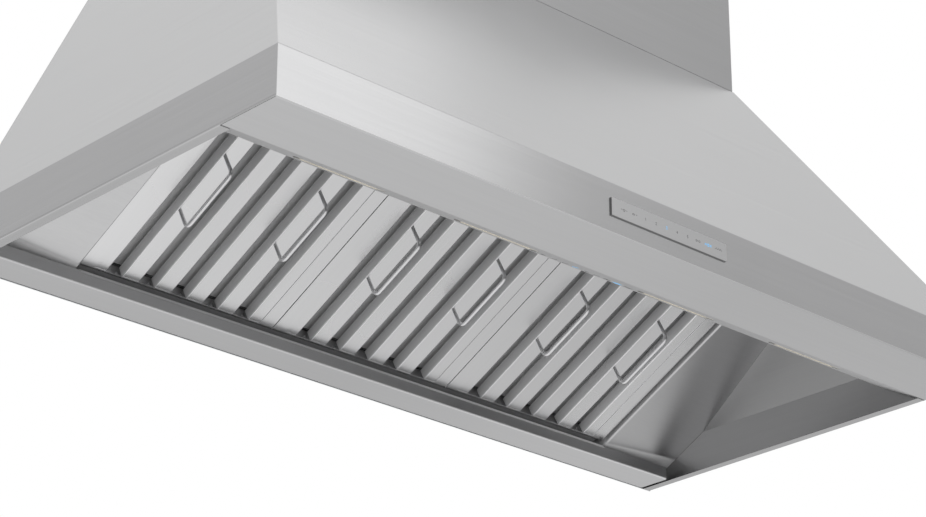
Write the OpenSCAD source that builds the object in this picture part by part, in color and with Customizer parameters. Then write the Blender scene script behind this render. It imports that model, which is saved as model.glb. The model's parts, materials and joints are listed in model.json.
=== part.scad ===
// Wall mounted chimney range hood with a pyramid canopy, three sloping baffle filters,
// a twin wheel blower and a telescoping chimney. All lengths are in millimetres.
// X runs along the width, Y runs from the room towards the wall and Z is up.
// The origin is on the wall, at the middle of the width, in the plane of the lower rim.

/* [Canopy] */
// Width of the canopy
canopy_w = 1219.2; // [1150:0.1:1300]
// Depth of the canopy from the wall to the front of the band
canopy_d = 609.6; // [590:0.1:660]
// Height of the upright band
band_h = 63.5; // [58:0.5:80]
// Height from the lower rim to the foot of the chimney
canopy_h = 462; // [455:1:520]
// Thickness of the stainless sheet
sheet_t = 1.2; // [1:0.1:1.5]
// Inside radius of the folds
fold_r = 1.6; // [1:0.1:2.5]
// Width of the return strip under each side
side_return_w = 15; // [10:0.5:25]
// Depth of the flange along the top of the front and side panels
top_flange_w = 25; // [20:1:30]
// Gap where two sheets meet without a weld
seam_gap = 0.3; // [0.2:0.05:0.6]

/* [Light pan] */
// Depth of the flat flange behind the band
flange_d = 95; // [80:1:110]
// Width of the sloping strip that carries the lamps
strip_l = 84; // [70:1:90]
// Slope of the lamp strip
strip_tilt = 28; // [20:1:30]
// Height of the pan's return behind the band
pan_return_h = 14; // [10:0.5:16]
// Height of the return along the strip's rear edge
strip_return_h = 12; // [8:0.5:14]
// Distance from the middle to the centre of each inner lamp
lamp_inner_x = 157; // [110:1:200]
// Distance from the middle to the centre of each outer lamp
lamp_outer_x = 405; // [350:1:450]
// Distance along the strip from its front fold to the lamps
lamp_place = 45; // [25:1:55]
// Length of a lamp's bezel
bezel_l = 136; // [120:1:150]
// Width of a lamp's bezel
bezel_w = 14; // [12:0.5:20]
// Thickness of the bezel's rim under the strip
bezel_rim_t = 0.8; // [0.5:0.1:1.2]
// Width of the rim around the bezel's body
bezel_rim_w = 2.6; // [2:0.1:4]
// Depth of the bezel's body above the strip's face
bezel_body_h = 9; // [8:0.5:14]
// Length of a lamp's lens
lens_l = 118; // [100:1:124]
// Width of a lamp's lens
lens_w = 5.4; // [4:0.1:6.5]
// Thickness of a lamp's lens
lens_t = 2; // [1.5:0.1:3]
// Thickness of the lamp's circuit board
lamp_board_t = 1.6; // [1:0.1:2]
// Number of light emitting chips on a lamp's board
chip_count = 9; // [5:1:12]
// Side of a light emitting chip
chip_w = 3; // [2:0.1:3.5]
// Height of a light emitting chip
chip_h = 0.8; // [0.5:0.1:1.2]

/* [Filters] */
// Slope of the filters
filter_tilt = 27; // [26:0.5:28]
// Height at which the plane of the filters' faces would reach the wall
filter_rise = 4; // [2:0.5:6]
// Distance along the slope from the wall to the filters' rear ends
filter_start = 53.1; // [52:0.1:58]
// Length of a filter along the slope
filter_l = 403; // [370:1:410]
// Distance from the centre of one filter to the next
filter_pitch = 307.2; // [300:0.1:315]
// Gap between neighbouring filters
filter_gap = 1.8; // [1:0.1:3]
// Thickness of a filter
filter_t = 26; // [24:0.5:28]
// Thickness of the sheet of the frames and baffles
baffle_t = 0.8; // [0.6:0.1:1]
// Outside radius of the folds along the frame's ends
frame_r = 2.4; // [2:0.1:3]
// Width of the frame's lower lip along its sides
frame_side_lip = 20.7; // [16:0.1:26]
// Width of the frame's lower lip along its ends
frame_end_lip = 4.2; // [3.5:0.1:8]
// Width of the frame's upper lip
frame_top_lip = 14; // [10:0.5:18]
// Width of a slot between two front baffles
slot_w = 24; // [20:0.1:26]
// Distance from one slot to the next
slot_pitch = 50.4; // [48:0.1:52]
// Number of slots in a filter
slot_count = 5; // [3:1:5]
// Height of the upturned flanges of a front baffle
front_flange_h = 17; // [12:0.5:18]
// Width of a rear baffle
rear_baffle_w = 39.4; // [36:0.1:42]
// Height above the filter's face at which the rear baffles' flanges end
rear_flange_z = 9; // [7:0.5:12]
// Inside radius of the baffles' folds
baffle_fold_r = 0.8; // [0.6:0.1:1.2]
// Distance that a filter is pushed up its slope to free it
filter_lift = 16; // [13:0.5:18]
// Length of the tongue on a filter's rear end
tongue_l = 11; // [9:0.5:12]
// Width of that tongue
tongue_w = 280; // [200:1:295]
// Height of the tongue above the filter's face
tongue_z = 8; // [7:0.5:10]

/* [Filter handles] */
// Diameter of the handle wire
wire_d = 4.8; // [4:0.1:6]
// Distance between the two feet of a handle
handle_l = 96.2; // [80:0.1:110]
// Distance from the filter's face to the middle of the handle's bar
handle_h = 33; // [25:0.5:38]
// Bend radius at the middle of the wire
handle_bend_r = 9; // [7:0.5:14]
// Distance from the filter's rear end to the middle of the handle
handle_place = 174; // [120:1:260]
// Distance from the slot's edge to the wire
handle_inset = 1; // [0.6:0.1:6]

/* [Liner and trough] */
// Distance by which the liner stands below the filters' faces beside the filters
liner_drop = 6; // [5:0.1:7]
// Height of the liner above the filters' faces at the side panels and in front of the filters
liner_rise = 3.1; // [2.5:0.1:4]
// Gap between the outer filters and the liner's upturned edges
liner_gap = 3.1; // [2:0.1:5]
// Distance from the wall to the liner's rear edge
liner_rear = 10; // [9:0.5:14]
// Thickness of the liner sheets
liner_t = 1; // [0.8:0.1:1.2]
// Height of the upturned edge beside the filters
liner_edge_h = 26; // [12:0.5:28]
// Distance from the wall to the front of the grease trough
trough_d = 53.6; // [50:0.1:54]
// Height of the trough's lip beside the filters
trough_lip_h = 18.5; // [17:0.5:20]
// Height at which the lip leans back behind the filters
trough_bend_h = 16.5; // [14:0.5:16.5]
// Distance by which the lip leans back there
trough_lean_d = 5; // [3:0.5:6]
// Height of the leaning part
trough_lean_h = 5.5; // [4:0.5:6]
// Height of the trough's rear leg
trough_back_h = 34; // [30:0.5:40]
// Height of the trough's end caps
trough_cap_h = 10; // [6:0.5:11]
// Gap between the end of the trough and the side return
trough_end_gap = 5.6; // [3:0.1:10]
// Width of the lip under the filters' front ends
rail_lip_w = 6; // [5:0.5:9]
// Height of the filters' front rail
rail_h = 36; // [30:0.5:40]

/* [Control] */
// Width of the control plate
control_w = 201.5; // [180:0.5:240]
// Height of the control plate
control_h = 23.4; // [20:0.1:28]
// Thickness of the control plate
control_t = 2.5; // [1.5:0.1:4]
// Height of the middle of the control plate above the lower rim
control_z = 32.1; // [31:0.1:36]
// Corner radius of the control plate
control_r = 0.8; // [0.5:0.1:3]
// Rim of the plate that lies on the band
control_rim = 6; // [4:0.5:7]
// Depth of the control housing behind the band
control_depth = 14; // [12:0.5:20]
// Wall of the control housing
control_wall = 2; // [1.5:0.1:3]
// Thickness of the control's circuit board
control_board_t = 1.6; // [1:0.1:2]

/* [Blower] */
// Distance from the wall to the blower's axis
blower_y = 200; // [190:1:210]
// Height of the blower's axis
blower_z = 300; // [296:1:310]
// Distance from the middle to the centre of each wheel
wheel_x = 165; // [155:1:175]
// Radius of a wheel
wheel_r = 100; // [90:1:104]
// Width of a wheel
wheel_w = 104; // [90:1:108]
// Radial depth of the wheel's blades
blade_d = 16; // [12:0.5:18]
// Number of blades on a wheel
blade_count = 30; // [20:1:36]
// Thickness of a blade
blade_t = 1; // [0.8:0.1:1.4]
// Angle by which a blade's outer edge leads its inner edge
blade_lead = 8; // [4:0.5:10]
// Thickness of the wheel's middle disc
disc_t = 1.6; // [1.2:0.1:2.5]
// Width of the rings at the wheel's ends
wheel_ring_w = 3; // [2:0.5:5]
// Radius of the wheel's hub
hub_r = 16; // [12:0.5:22]
// Length of the wheel's hub
hub_l = 40; // [30:1:50]
// Radius of the motor shaft
shaft_r = 6.35; // [5:0.05:8]
// Radial running clearance of the shaft in the motor
bearing_clear = 0.04; // [0.02:0.01:0.08]
// Radial clearance of the shaft in the hubs
hub_clear = 0.02; // [0.01:0.01:0.05]
// Least radius inside a scroll, at its cut-off
scroll_r_min = 112; // [110:1:116]
// Greatest radius inside a scroll, at its outlet
scroll_r_max = 160; // [150:1:164]
// Angle of the cut-off from the side of the outlet
cutoff_angle = 70; // [60:1:80]
// Width inside a scroll
scroll_w = 118; // [114:1:124]
// Radius of a scroll's inlet hole
inlet_r = 80; // [70:1:82]
// Throat radius of an inlet ring
throat_r = 72; // [62:1:74]
// Width of the flange round a scroll's outlet
scroll_flange_w = 12; // [10:0.5:14]
// Radius of the motor
motor_r = 62; // [50:1:66]
// Length of the motor's can
motor_l = 110; // [90:1:130]
// Length of each bearing boss
boss_l = 8; // [6:0.5:12]
// Radius of each bearing boss
boss_r = 20; // [16:0.5:26]
// Thickness of the motor's bracket plates
bracket_t = 2; // [1.5:0.1:3]
// Width of the bracket's ring round the motor
bracket_ring_w = 10; // [8:0.5:14]
// Distance from the motor's middle to each bracket plate
bracket_x = 36; // [25:1:44]
// Thickness of the top plate
plate_t = 1.5; // [1.2:0.1:2]

/* [Duct] */
// Outside radius of the duct collar
collar_r = 125.5; // [115:0.5:128]
// Height of the duct collar above the outlet box
collar_h = 60; // [50:1:80]
// Wall of the collar and the outlet box
duct_t = 1; // [0.8:0.1:1.2]
// Height of the outlet box
outlet_box_h = 79; // [60:1:100]
// Room between the scrolls' outer flanges and the sides of the outlet box
outlet_side_room = 1.8; // [1:0.1:5]
// Room between the scrolls' outlets and the rear of the outlet box
outlet_rear_room = 5; // [3:0.5:6]
// Room between the front of the chimney and the outlet box
outlet_front_room = 38; // [36:0.5:44]
// Width of the flange under the outlet box
outlet_flange_w = 8; // [6:0.5:8]
// Width of the collar's flange
collar_flange_w = 13; // [10:0.5:15]
// Height of the damper pin above the outlet box
pin_z = 24; // [20:1:27]
// Radius of the damper pin
pin_r = 2.5; // [2:0.1:4]
// Radial running clearance of the damper's knuckles
knuckle_clear = 0.08; // [0.04:0.01:0.1]
// Outside radius of the damper's knuckles
knuckle_r = 4.5; // [4.2:0.1:6]
// Length of a damper knuckle
knuckle_l = 36; // [25:1:40]
// Thickness of a damper flap
flap_t = 1; // [0.8:0.1:1.5]
// Gap between a flap and the collar
flap_gap = 2.5; // [1.5:0.1:4]
// Width of the seat under the flaps
seat_w = 7; // [5:0.5:10]

/* [Electrics] */
// Width of the power box
power_box_w = 128; // [110:1:130]
// Depth of the power box
power_box_d = 106; // [80:1:120]
// Height of the power box
power_box_h = 54; // [45:1:70]
// Wall of the power box
power_box_t = 1; // [0.8:0.1:1.5]
// Depth of the lip inside the power box's cover
box_lip_h = 5; // [4:0.5:8]
// Gap between the outlet box's flange and the power box
power_box_gap = 15; // [10:1:17]
// Radius of the hole for the wires between the blower and the power box
wire_hole_r = 7; // [5:0.5:8]
// Distance from the wall to the power box
power_box_y = 44; // [38:1:60]
// Radius of the cable entry through the gland
cable_r = 5; // [4:0.1:6]
// Radius of the gland's thread
gland_r = 10; // [8:0.1:12]
// Length of the gland outside the box
gland_l = 16; // [12:0.5:24]
// Radius of the motor's capacitor
capacitor_r = 22; // [18:0.5:26]
// Height of the motor's capacitor
capacitor_h = 84; // [60:1:100]

/* [Chimney] */
// Width of the chimney
chimney_w = 844; // [830:1:860]
// Depth of the chimney
chimney_d = 356; // [352:1:366]
// Height of the lower chimney cover
lower_cover_h = 420; // [380:1:500]
// Height of the upper chimney cover
upper_cover_h = 400; // [350:1:480]
// Thickness of the chimney covers
cover_t = 1; // [0.8:0.1:1.2]
// Gap between the upper cover and the lower one
cover_gap = 1.5; // [1:0.1:2]
// Width of the returns along the covers' wall edges
cover_return_w = 18; // [12:1:25]
// Width of the lower cover's foot
cover_foot_w = 12; // [8:0.5:16]
// Height of the clips that hold the lower cover
clip_h = 43; // [30:1:60]
// Thickness of the clips
clip_t = 3; // [2.5:0.1:3.5]
// Length of a clip along the cover's side
clip_l = 60; // [40:1:80]
// Depth of the ceiling bracket
ceiling_bracket_d = 34; // [25:1:50]
// Length of the ceiling bracket's side legs
ceiling_leg_h = 40; // [30:1:60]
// Thickness of the ceiling bracket
ceiling_t = 2; // [1.5:0.1:3]
// Distance between the two ceiling bolts
ceiling_bolt_x = 600; // [400:1:700]

/* [Wall fixing] */
// Distance between the wall bolts along the width
wall_bolt_x = 640; // [500:1:700]
// Distance between the upper and the lower wall bolts
wall_bolt_z = 270; // [220:1:290]
// Distance from the foot of the chimney down to the upper wall bolts
wall_bolt_drop = 52; // [42:1:62]
// Radius of the wall bolts' holes
wall_bolt_r = 4; // [3:0.1:5]
// Length of the rail behind the upper wall bolts
rail_w = 760; // [740:1:780]
// Height of that rail
wall_rail_h = 50; // [40:1:60]
// Thickness of that rail
wall_rail_t = 3; // [2:0.1:4]

/* [Fasteners] */
// Radius of the screws' shanks
screw_r = 2; // [1.5:0.1:2.5]
// Radius of the screws' heads, across their corners
head_r = 4.2; // [3:0.1:5]
// Height of the screws' heads
head_h = 2.8; // [2:0.1:4]
// Radial clearance of the screws in their holes
screw_clear = 0.15; // [0.1:0.01:0.3]

/* [Hidden] */

$fn = 64;
fold_steps = 4;
fillet_steps = 4;
overrun = 4;
steel = [0.74, 0.74, 0.75];
bright_steel = [0.83, 0.83, 0.84];
inner_steel = [0.62, 0.63, 0.64];
wire_colour = [0.88, 0.88, 0.9];
plate_colour = [0.71, 0.71, 0.71];
lens_colour = [0.98, 0.93, 0.82];
board_colour = [0.1, 0.35, 0.2];
dark_plastic = [0.14, 0.14, 0.15];

// Derived places of the canopy
half_w = canopy_w / 2;
half_chimney = chimney_w / 2;
plate_top = canopy_h - sheet_t;
plate_under = plate_top - plate_t;
front_path = [[-canopy_d, 0], [-canopy_d, band_h], [-chimney_d, canopy_h],
    [-chimney_d + top_flange_w, canopy_h]];
side_path = [[-half_w + side_return_w, 0], [-half_w, 0], [-half_w, band_h], [-half_chimney, canopy_h],
    [-half_chimney + top_flange_w, canopy_h]];
canopy_outline = [[-half_w, 0], [-half_w, band_h], [-half_chimney, canopy_h], [half_chimney, canopy_h],
    [half_w, band_h], [half_w, 0]];
plate_inset = 2.5 * fold_r;
return_start = flange_d + sheet_t / tan(strip_tilt) + seam_gap;
wall_bolt_top = canopy_h - wall_bolt_drop;

// Derived places of the filters
filter_end = filter_start + filter_l;
filter_w = filter_pitch - filter_gap;
filter_xs = [-filter_pitch, 0, filter_pitch];
opening_half = 1.5 * filter_pitch;
liner_edge_x = opening_half - filter_gap / 2 + liner_gap;
rail_place = filter_end + filter_lift + 2 * seam_gap + sheet_t;
slot_edges = [for (i = [0 : slot_count - 1]) (i - (slot_count - 1) / 2) * slot_pitch];
baffle_end = baffle_t + frame_r;
handle_slots = [0, slot_count - 2];
ledge_face = tongue_z - seam_gap;
trough_face = 2 * sheet_t + seam_gap;
trough_half = half_w - side_return_w - trough_end_gap;
trough_lean_x = opening_half - seam_gap;

// Derived places of the lamps and the control
lamp_xs = [-lamp_outer_x, -lamp_inner_x, lamp_inner_x, lamp_outer_x];
bezel_body_l = bezel_l - 2 * bezel_rim_w;
bezel_body_w = bezel_w - 2 * bezel_rim_w;
pocket_clear = 0.3;
pocket_w = lens_w + pocket_clear;
pocket_l = lens_l + pocket_clear;
pocket_h = 0.75 * bezel_body_h;
cutout_clear = 0.4;
lens_recess_share = 0.6;
housing_h = control_h;
housing_w = control_w - 2 * control_rim;

// Derived places of the blower
scroll_rise = plate_under - blower_z;
cutoff_x = scroll_r_min * cos(cutoff_angle);
scroll_steps = 28;
scroll_half = scroll_w / 2 + sheet_t;
blade_steps = 4;
shaft_half = wheel_x + hub_l / 2;
motor_end_l = motor_l / 2 + boss_l;
bracket_clear = 0.3;
bracket_rise = plate_under - blower_z;
bracket_neck = 1.2 * motor_r;
wheel_ring_lip = 1;
inlet_lip = 1;
inlet_depth = 8;
inlet_collar = 5;

// Derived places of the duct and the power box
outlet_box_x = wheel_x + scroll_half + scroll_flange_w + outlet_side_room;
outlet_box_rear = blower_y - scroll_r_max - outlet_rear_room;
outlet_box_front = chimney_d - outlet_front_room;
collar_y = (outlet_box_front + outlet_box_rear) / 2;
power_box_x = outlet_box_x + outlet_flange_w + power_box_gap;
box_top = plate_top + outlet_box_h;
collar_bore = collar_r - duct_t;
pin_height = box_top + pin_z;
flap_r = collar_bore - flap_gap;
seat_gap = 0.3;
leaf_edge = knuckle_r + 0.8 * flap_t;
knuckle_gap = 4;
knuckle_outer = 1.5 * knuckle_l + 1.5 * knuckle_gap;
knuckle_inner = 0.5 * knuckle_l + 0.5 * knuckle_gap;
pin_hole_clear = 0.05;

// Derived places of the chimney
cover_inner_x = half_chimney - cover_t;
cover_inner_y = chimney_d - cover_t;
upper_x = cover_inner_x - cover_gap;
upper_y = cover_inner_y - cover_gap;
clip_top = canopy_h + clip_h;
upper_foot = clip_top + seam_gap;
upper_top = upper_foot + upper_cover_h;
clip_ys = [-0.25 * chimney_d, -0.75 * chimney_d];
clip_base_w = 25;

// Fastener places
blower_bolt_x = scroll_half + scroll_flange_w / 2;
blower_bolt_dxs = [-blower_bolt_x, blower_bolt_x];
blower_bolt_ys = [-blower_y + cutoff_x + scroll_flange_w, -blower_y + scroll_r_max - scroll_flange_w];
collar_screw_r = collar_r + collar_flange_w / 2;
collar_screw_angles = [45, 135, 225, 315];
head_sides = 6;

// A unit vector along v
function unit(v) = v / norm(v);
// The direction to the left of the line from a to b
function left_of(a, b) = let (d = unit(b - a)) [-d.y, d.x];
// A list in reverse order
function backwards(list) = [for (i = [len(list) - 1 : -1 : 0]) list[i]];
// A path moved to its left by d, with mitred corners
function moved(path, d) = [for (i = [0 : len(path) - 1])
    let (a = max(i, 1), b = min(i, len(path) - 2),
        before = left_of(path[a - 1], path[a]),
        after = left_of(path[b], path[b + 1]))
    path[i] + (before + after) * d / (1 + before * after)];
// The points of a fold of radius r at corner b of the path a, b, c
function fold(a, b, c, r, steps) = let (
    u = unit(a - b),
    half = acos(u * unit(c - b)) / 2,
    start = b + u * r / tan(half),
    side = sign(cross(b - a, c - b)),
    centre = start + left_of(a, b) * r * side,
    first = atan2(start.y - centre.y, start.x - centre.x),
    turn = side * (180 - 2 * half))
    [for (k = [0 : steps]) centre + r * [cos(first + turn * k / steps), sin(first + turn * k / steps)]];
// A path with every inner corner folded to radius r
function folded(path, r, steps) = [for (i = [0 : len(path) - 1])
    each (i == 0 || i == len(path) - 1) ? [path[i]] : fold(path[i - 1], path[i], path[i + 1], r, steps)];
// The corners of a rectangle with rounded corners
function round_rectangle(w, h, r) = let (
    loop = [[0, -h / 2], [w / 2, -h / 2], [w / 2, h / 2], [-w / 2, h / 2], [-w / 2, -h / 2], [0, -h / 2]],
    all = folded(loop, r, fillet_steps))
    [for (i = [0 : len(all) - 2]) all[i]];
// A point at distance u up the filters' slope and n above their faces, as depth and height
function on_filters(u, n) = [-u * cos(filter_tilt) + n * sin(filter_tilt),
    filter_rise + u * sin(filter_tilt) + n * cos(filter_tilt)];

// The cross-section of a folded sheet that lies to the left of its path
module sheet_section(path, t, r) {
    curve = folded(path, r, fold_steps);
    polygon(concat(curve, backwards(moved(curve, t))));
}

// Extrudes a section drawn in depth and height along the width
module along_x(w) {
    rotate([90, 0, 90])
        linear_extrude(w, center = true)
            children();
}

// Extrudes a section drawn in width and height from the wall into the room
module along_y(d) {
    rotate([90, 0, 0])
        linear_extrude(d)
            children();
}

// Places children on the plane of the filters' faces, with Z square to it
module on_slope() {
    translate([0, 0, filter_rise])
        rotate([-filter_tilt, 0, 0])
            children();
}

// Places children on the face of the lamp strip, with Z square to it
module on_strip() {
    translate([0, -canopy_d + flange_d, 0])
        rotate([strip_tilt, 0, 0])
            children();
}

// A box given by its lowest and highest corners
module block(low, high) {
    translate(low)
        cube(high - low);
}

// A slot outline with round ends
module stadium(l, w) {
    square([l - w, w], center = true);
    for (side = [-1, 1])
        translate([side * (l - w) / 2, 0])
            circle(d = w);
}

// The room inside the canopy's panels, less a clearance
module canopy_room(clear) {
    inset = sheet_t + clear;
    front = moved([for (i = [0 : 2]) front_path[i]], -inset);
    side = moved([for (i = [1 : 3]) side_path[i]], -inset);
    right = [for (p = backwards(side)) [-p.x, p.y]];
    intersection() {
        along_x(canopy_w)
            polygon(concat(front, [[-inset, front[2].y], [-inset, 0]]));
        along_y(canopy_d)
            polygon(concat(side, right));
    }
}

module canopy_front() {
    color(steel)
        difference() {
            intersection() {
                along_x(canopy_w)
                    sheet_section(front_path, -sheet_t, fold_r + sheet_t);
                along_y(canopy_d)
                    polygon(canopy_outline);
            }
            translate([0, -canopy_d + sheet_t + overrun, control_z])
                along_y(sheet_t + 2 * overrun)
                    square([housing_w - 2 * control_wall, housing_h - 2 * control_wall], center = true);
        }
}

// One side panel, drawn on the left
module side_panel() {
    front = moved(folded(front_path, fold_r + sheet_t, fold_steps), -sheet_t);
    behind = [[-chimney_d + top_flange_w, canopy_h], [-sheet_t, canopy_h], [-sheet_t, 0]];
    difference() {
        intersection() {
            along_y(canopy_d)
                sheet_section(side_path, -sheet_t, fold_r + sheet_t);
            along_x(canopy_w)
                polygon(concat(front, behind));
        }
        block([-half_w + sheet_t, -canopy_d, -overrun],
            [-half_w + side_return_w + overrun, -canopy_d + return_start, sheet_t + fold_r]);
    }
}

module canopy_left() {
    color(steel)
        side_panel();
}

module canopy_right() {
    color(steel)
        mirror([1, 0, 0])
            side_panel();
}

module canopy_back() {
    color(steel)
        difference() {
            along_y(sheet_t)
                polygon(canopy_outline);
            wall_bolt_holes();
        }
}

// The holes for the four wall bolts
module wall_bolt_holes() {
    for (x = [-wall_bolt_x / 2, wall_bolt_x / 2], z = [wall_bolt_top, wall_bolt_top - wall_bolt_z])
        translate([x, overrun, z])
            rotate([90, 0, 0])
                cylinder(r = wall_bolt_r, h = sheet_t + wall_rail_t + 2 * overrun);
}

module wall_rail() {
    color(inner_steel)
        difference() {
            block([-rail_w / 2, -sheet_t - wall_rail_t, wall_bolt_top - wall_rail_h / 2],
                [rail_w / 2, -sheet_t, wall_bolt_top + wall_rail_h / 2]);
            wall_bolt_holes();
        }
}

module canopy_top() {
    x = half_chimney - plate_inset;
    color(inner_steel)
        difference() {
            block([-x, -chimney_d + plate_inset, plate_under], [x, -sheet_t - seam_gap, plate_top]);
            for (side = [-1, 1])
                translate([side * wheel_x, 0, 0])
                    block([-scroll_w / 2, -blower_y + cutoff_x, plate_under - overrun],
                        [scroll_w / 2, -blower_y + scroll_r_max, plate_top + overrun]);
            blower_bolt_places()
                cylinder(r = screw_r + screw_clear, h = plate_t + sheet_t + 2 * overrun, center = true);
            wire_hole();
        }
}

// The hole for the wires, through the top plate and the floor of the power box
module wire_hole() {
    translate([power_box_x + power_box_w / 4, -power_box_y - power_box_d + power_box_t + wire_hole_r + seam_gap,
        plate_top])
        cylinder(r = wire_hole_r, h = 2 * plate_t + 2 * power_box_t + 2 * overrun, center = true);
}

// Puts children at each bolt between the top plate and the scrolls
module blower_bolt_places() {
    for (side = [-1, 1], dx = blower_bolt_dxs, y = blower_bolt_ys)
        translate([side * wheel_x + dx, y, plate_under])
            children();
}

// A screw whose head stands on the plane z = 0 and whose shank hangs below it
module screw(l) {
    cylinder(r = head_r, h = head_h, $fn = head_sides);
    translate([0, 0, -l])
        cylinder(r = screw_r, h = l + head_h / 2);
}

module blower_bolts() {
    color(bright_steel)
        blower_bolt_places()
            translate([0, 0, plate_t])
                screw(plate_t + sheet_t + head_h);
}

module light_pan() {
    start = -canopy_d + sheet_t + seam_gap;
    crease = -canopy_d + flange_d;
    rear = [crease + strip_l * cos(strip_tilt), strip_l * sin(strip_tilt)];
    path = [[start, pan_return_h], [start, 0], [crease, 0], rear,
        rear + strip_return_h * [-sin(strip_tilt), cos(strip_tilt)]];
    color(steel)
        difference() {
            along_x(canopy_w - 2 * sheet_t - 2 * seam_gap)
                sheet_section(path, sheet_t, fold_r + sheet_t);
            on_strip()
                for (x = lamp_xs)
                    translate([x, lamp_place, -overrun])
                        linear_extrude(sheet_t + 2 * overrun)
                            stadium(bezel_body_l + cutout_clear, bezel_body_w + cutout_clear);
        }
}

module lamp_bezels() {
    color(inner_steel)
        on_strip()
            for (x = lamp_xs)
                translate([x, lamp_place, 0])
                    difference() {
                        union() {
                            translate([0, 0, -bezel_rim_t])
                                linear_extrude(bezel_rim_t)
                                    stadium(bezel_l, bezel_w);
                            linear_extrude(bezel_body_h)
                                stadium(bezel_body_l, bezel_body_w);
                        }
                        translate([0, 0, -bezel_rim_t - overrun])
                            linear_extrude(pocket_h + bezel_rim_t + overrun)
                                stadium(pocket_l, pocket_w);
                    }
}

module lamp_lenses() {
    color(lens_colour)
        on_strip()
            for (x = lamp_xs)
                translate([x, lamp_place, -lens_recess_share * bezel_rim_t])
                    linear_extrude(lens_t)
                        stadium(lens_l, lens_w);
}

module lamp_boards() {
    color(board_colour)
        on_strip()
            for (x = lamp_xs)
                translate([x, lamp_place, pocket_h - lamp_board_t]) {
                    linear_extrude(lamp_board_t)
                        stadium(lens_l, lens_w);
                    for (i = [0 : chip_count - 1])
                        translate([(i - (chip_count - 1) / 2) * lens_l / (chip_count + 1), 0, -chip_h / 2])
                            cube([chip_w, chip_w, chip_h], center = true);
                }
}

module grease_trough() {
    back = -sheet_t - seam_gap;
    channel = [[back, trough_back_h], [back, 0], [-trough_d, 0]];
    straight = [[-trough_d, trough_lip_h]];
    leaning = [[-trough_d, trough_bend_h], [-trough_d + trough_lean_d, trough_bend_h + trough_lean_h]];
    color(steel) {
        along_x(2 * trough_lean_x)
            sheet_section(concat(channel, leaning), -sheet_t, fold_r + sheet_t);
        difference() {
            along_x(2 * trough_half)
                sheet_section(concat(channel, straight), -sheet_t, fold_r + sheet_t);
            along_x(2 * trough_lean_x)
                translate([-trough_d - overrun, trough_bend_h - fold_r - sheet_t])
                    square([sheet_t + 2 * overrun, trough_lip_h]);
        }
        for (side = [-1, 1])
            translate([side * (trough_half - sheet_t / 2), 0, 0])
                along_x(sheet_t)
                    polygon([[back - sheet_t / 2, sheet_t / 2], [-trough_d + sheet_t / 2, sheet_t / 2],
                        [-trough_d + sheet_t / 2, trough_cap_h], [back - sheet_t / 2, trough_cap_h]]);
    }
}

module filter_rear_ledge() {
    n = ledge_face - sheet_t;
    u = (trough_face + n * sin(filter_tilt)) / cos(filter_tilt);
    path = [on_filters(filter_start - seam_gap, n), on_filters(u, n), [-trough_face, trough_back_h]];
    color(inner_steel)
        along_x(2 * (opening_half - rail_lip_w))
            sheet_section(path, sheet_t, fold_r + sheet_t);
}

module filter_front_rail() {
    n = -seam_gap - sheet_t;
    path = [on_filters(filter_end - rail_lip_w, n), on_filters(rail_place, n), on_filters(rail_place, rail_h)];
    color(inner_steel)
        along_x(2 * opening_half - 2 * seam_gap)
            sheet_section(path, -sheet_t, fold_r + sheet_t);
}

// The blank sheet beside the filters, which falls from the side panel to its upturned edge, drawn on the left
module liner_side() {
    path = [[-half_w, liner_rise], [-liner_edge_x, -liner_drop], [-liner_edge_x, liner_edge_h]];
    intersection() {
        canopy_room(seam_gap);
        block([-half_w, -canopy_d, sheet_t + seam_gap], [0, -liner_rear, canopy_h]);
        on_slope()
            along_y(canopy_d)
                sheet_section(path, liner_t, fold_r + liner_t);
    }
}

module liner_left() {
    color(steel)
        liner_side();
}

module liner_right() {
    color(steel)
        mirror([1, 0, 0])
            liner_side();
}

module liner_front() {
    color(steel)
        intersection() {
            canopy_room(seam_gap);
            on_slope()
                block([-opening_half + seam_gap, -canopy_d, liner_rise],
                    [opening_half - seam_gap, -rail_place, liner_rise + liner_t]);
        }
}

// The outline of a filter's frame in length and thickness, set in by d
module frame_section(d) {
    translate([-filter_start - filter_l / 2, filter_t / 2])
        polygon(round_rectangle(filter_l - 2 * d, filter_t - 2 * d, frame_r - d));
}

// One filter's frame, a channel folded round the baffles, with the tongue on its rear end
module filter_frame(i) {
    half = filter_w / 2;
    color(bright_steel)
        on_slope()
            translate([filter_xs[i], 0, 0]) {
                difference() {
                    along_x(filter_w)
                        frame_section(0);
                    along_x(filter_w - 2 * baffle_t)
                        frame_section(baffle_t);
                    block([-half + frame_side_lip, -filter_end + frame_end_lip, -overrun],
                        [half - frame_side_lip, -filter_start - frame_end_lip, filter_t / 2]);
                    block([-half + frame_top_lip, -filter_end + frame_top_lip, filter_t / 2],
                        [half - frame_top_lip, -filter_start - frame_top_lip, filter_t + overrun]);
                }
                block([-tongue_w / 2, -filter_start - baffle_t / 2, tongue_z],
                    [tongue_w / 2, -filter_start + tongue_l, tongue_z + baffle_t]);
            }
}

// Extrudes a section drawn in width and thickness along a filter's baffles
module along_baffle() {
    translate([0, -filter_start - baffle_end, 0])
        along_y(filter_l - 2 * baffle_end)
            children();
}

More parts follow.
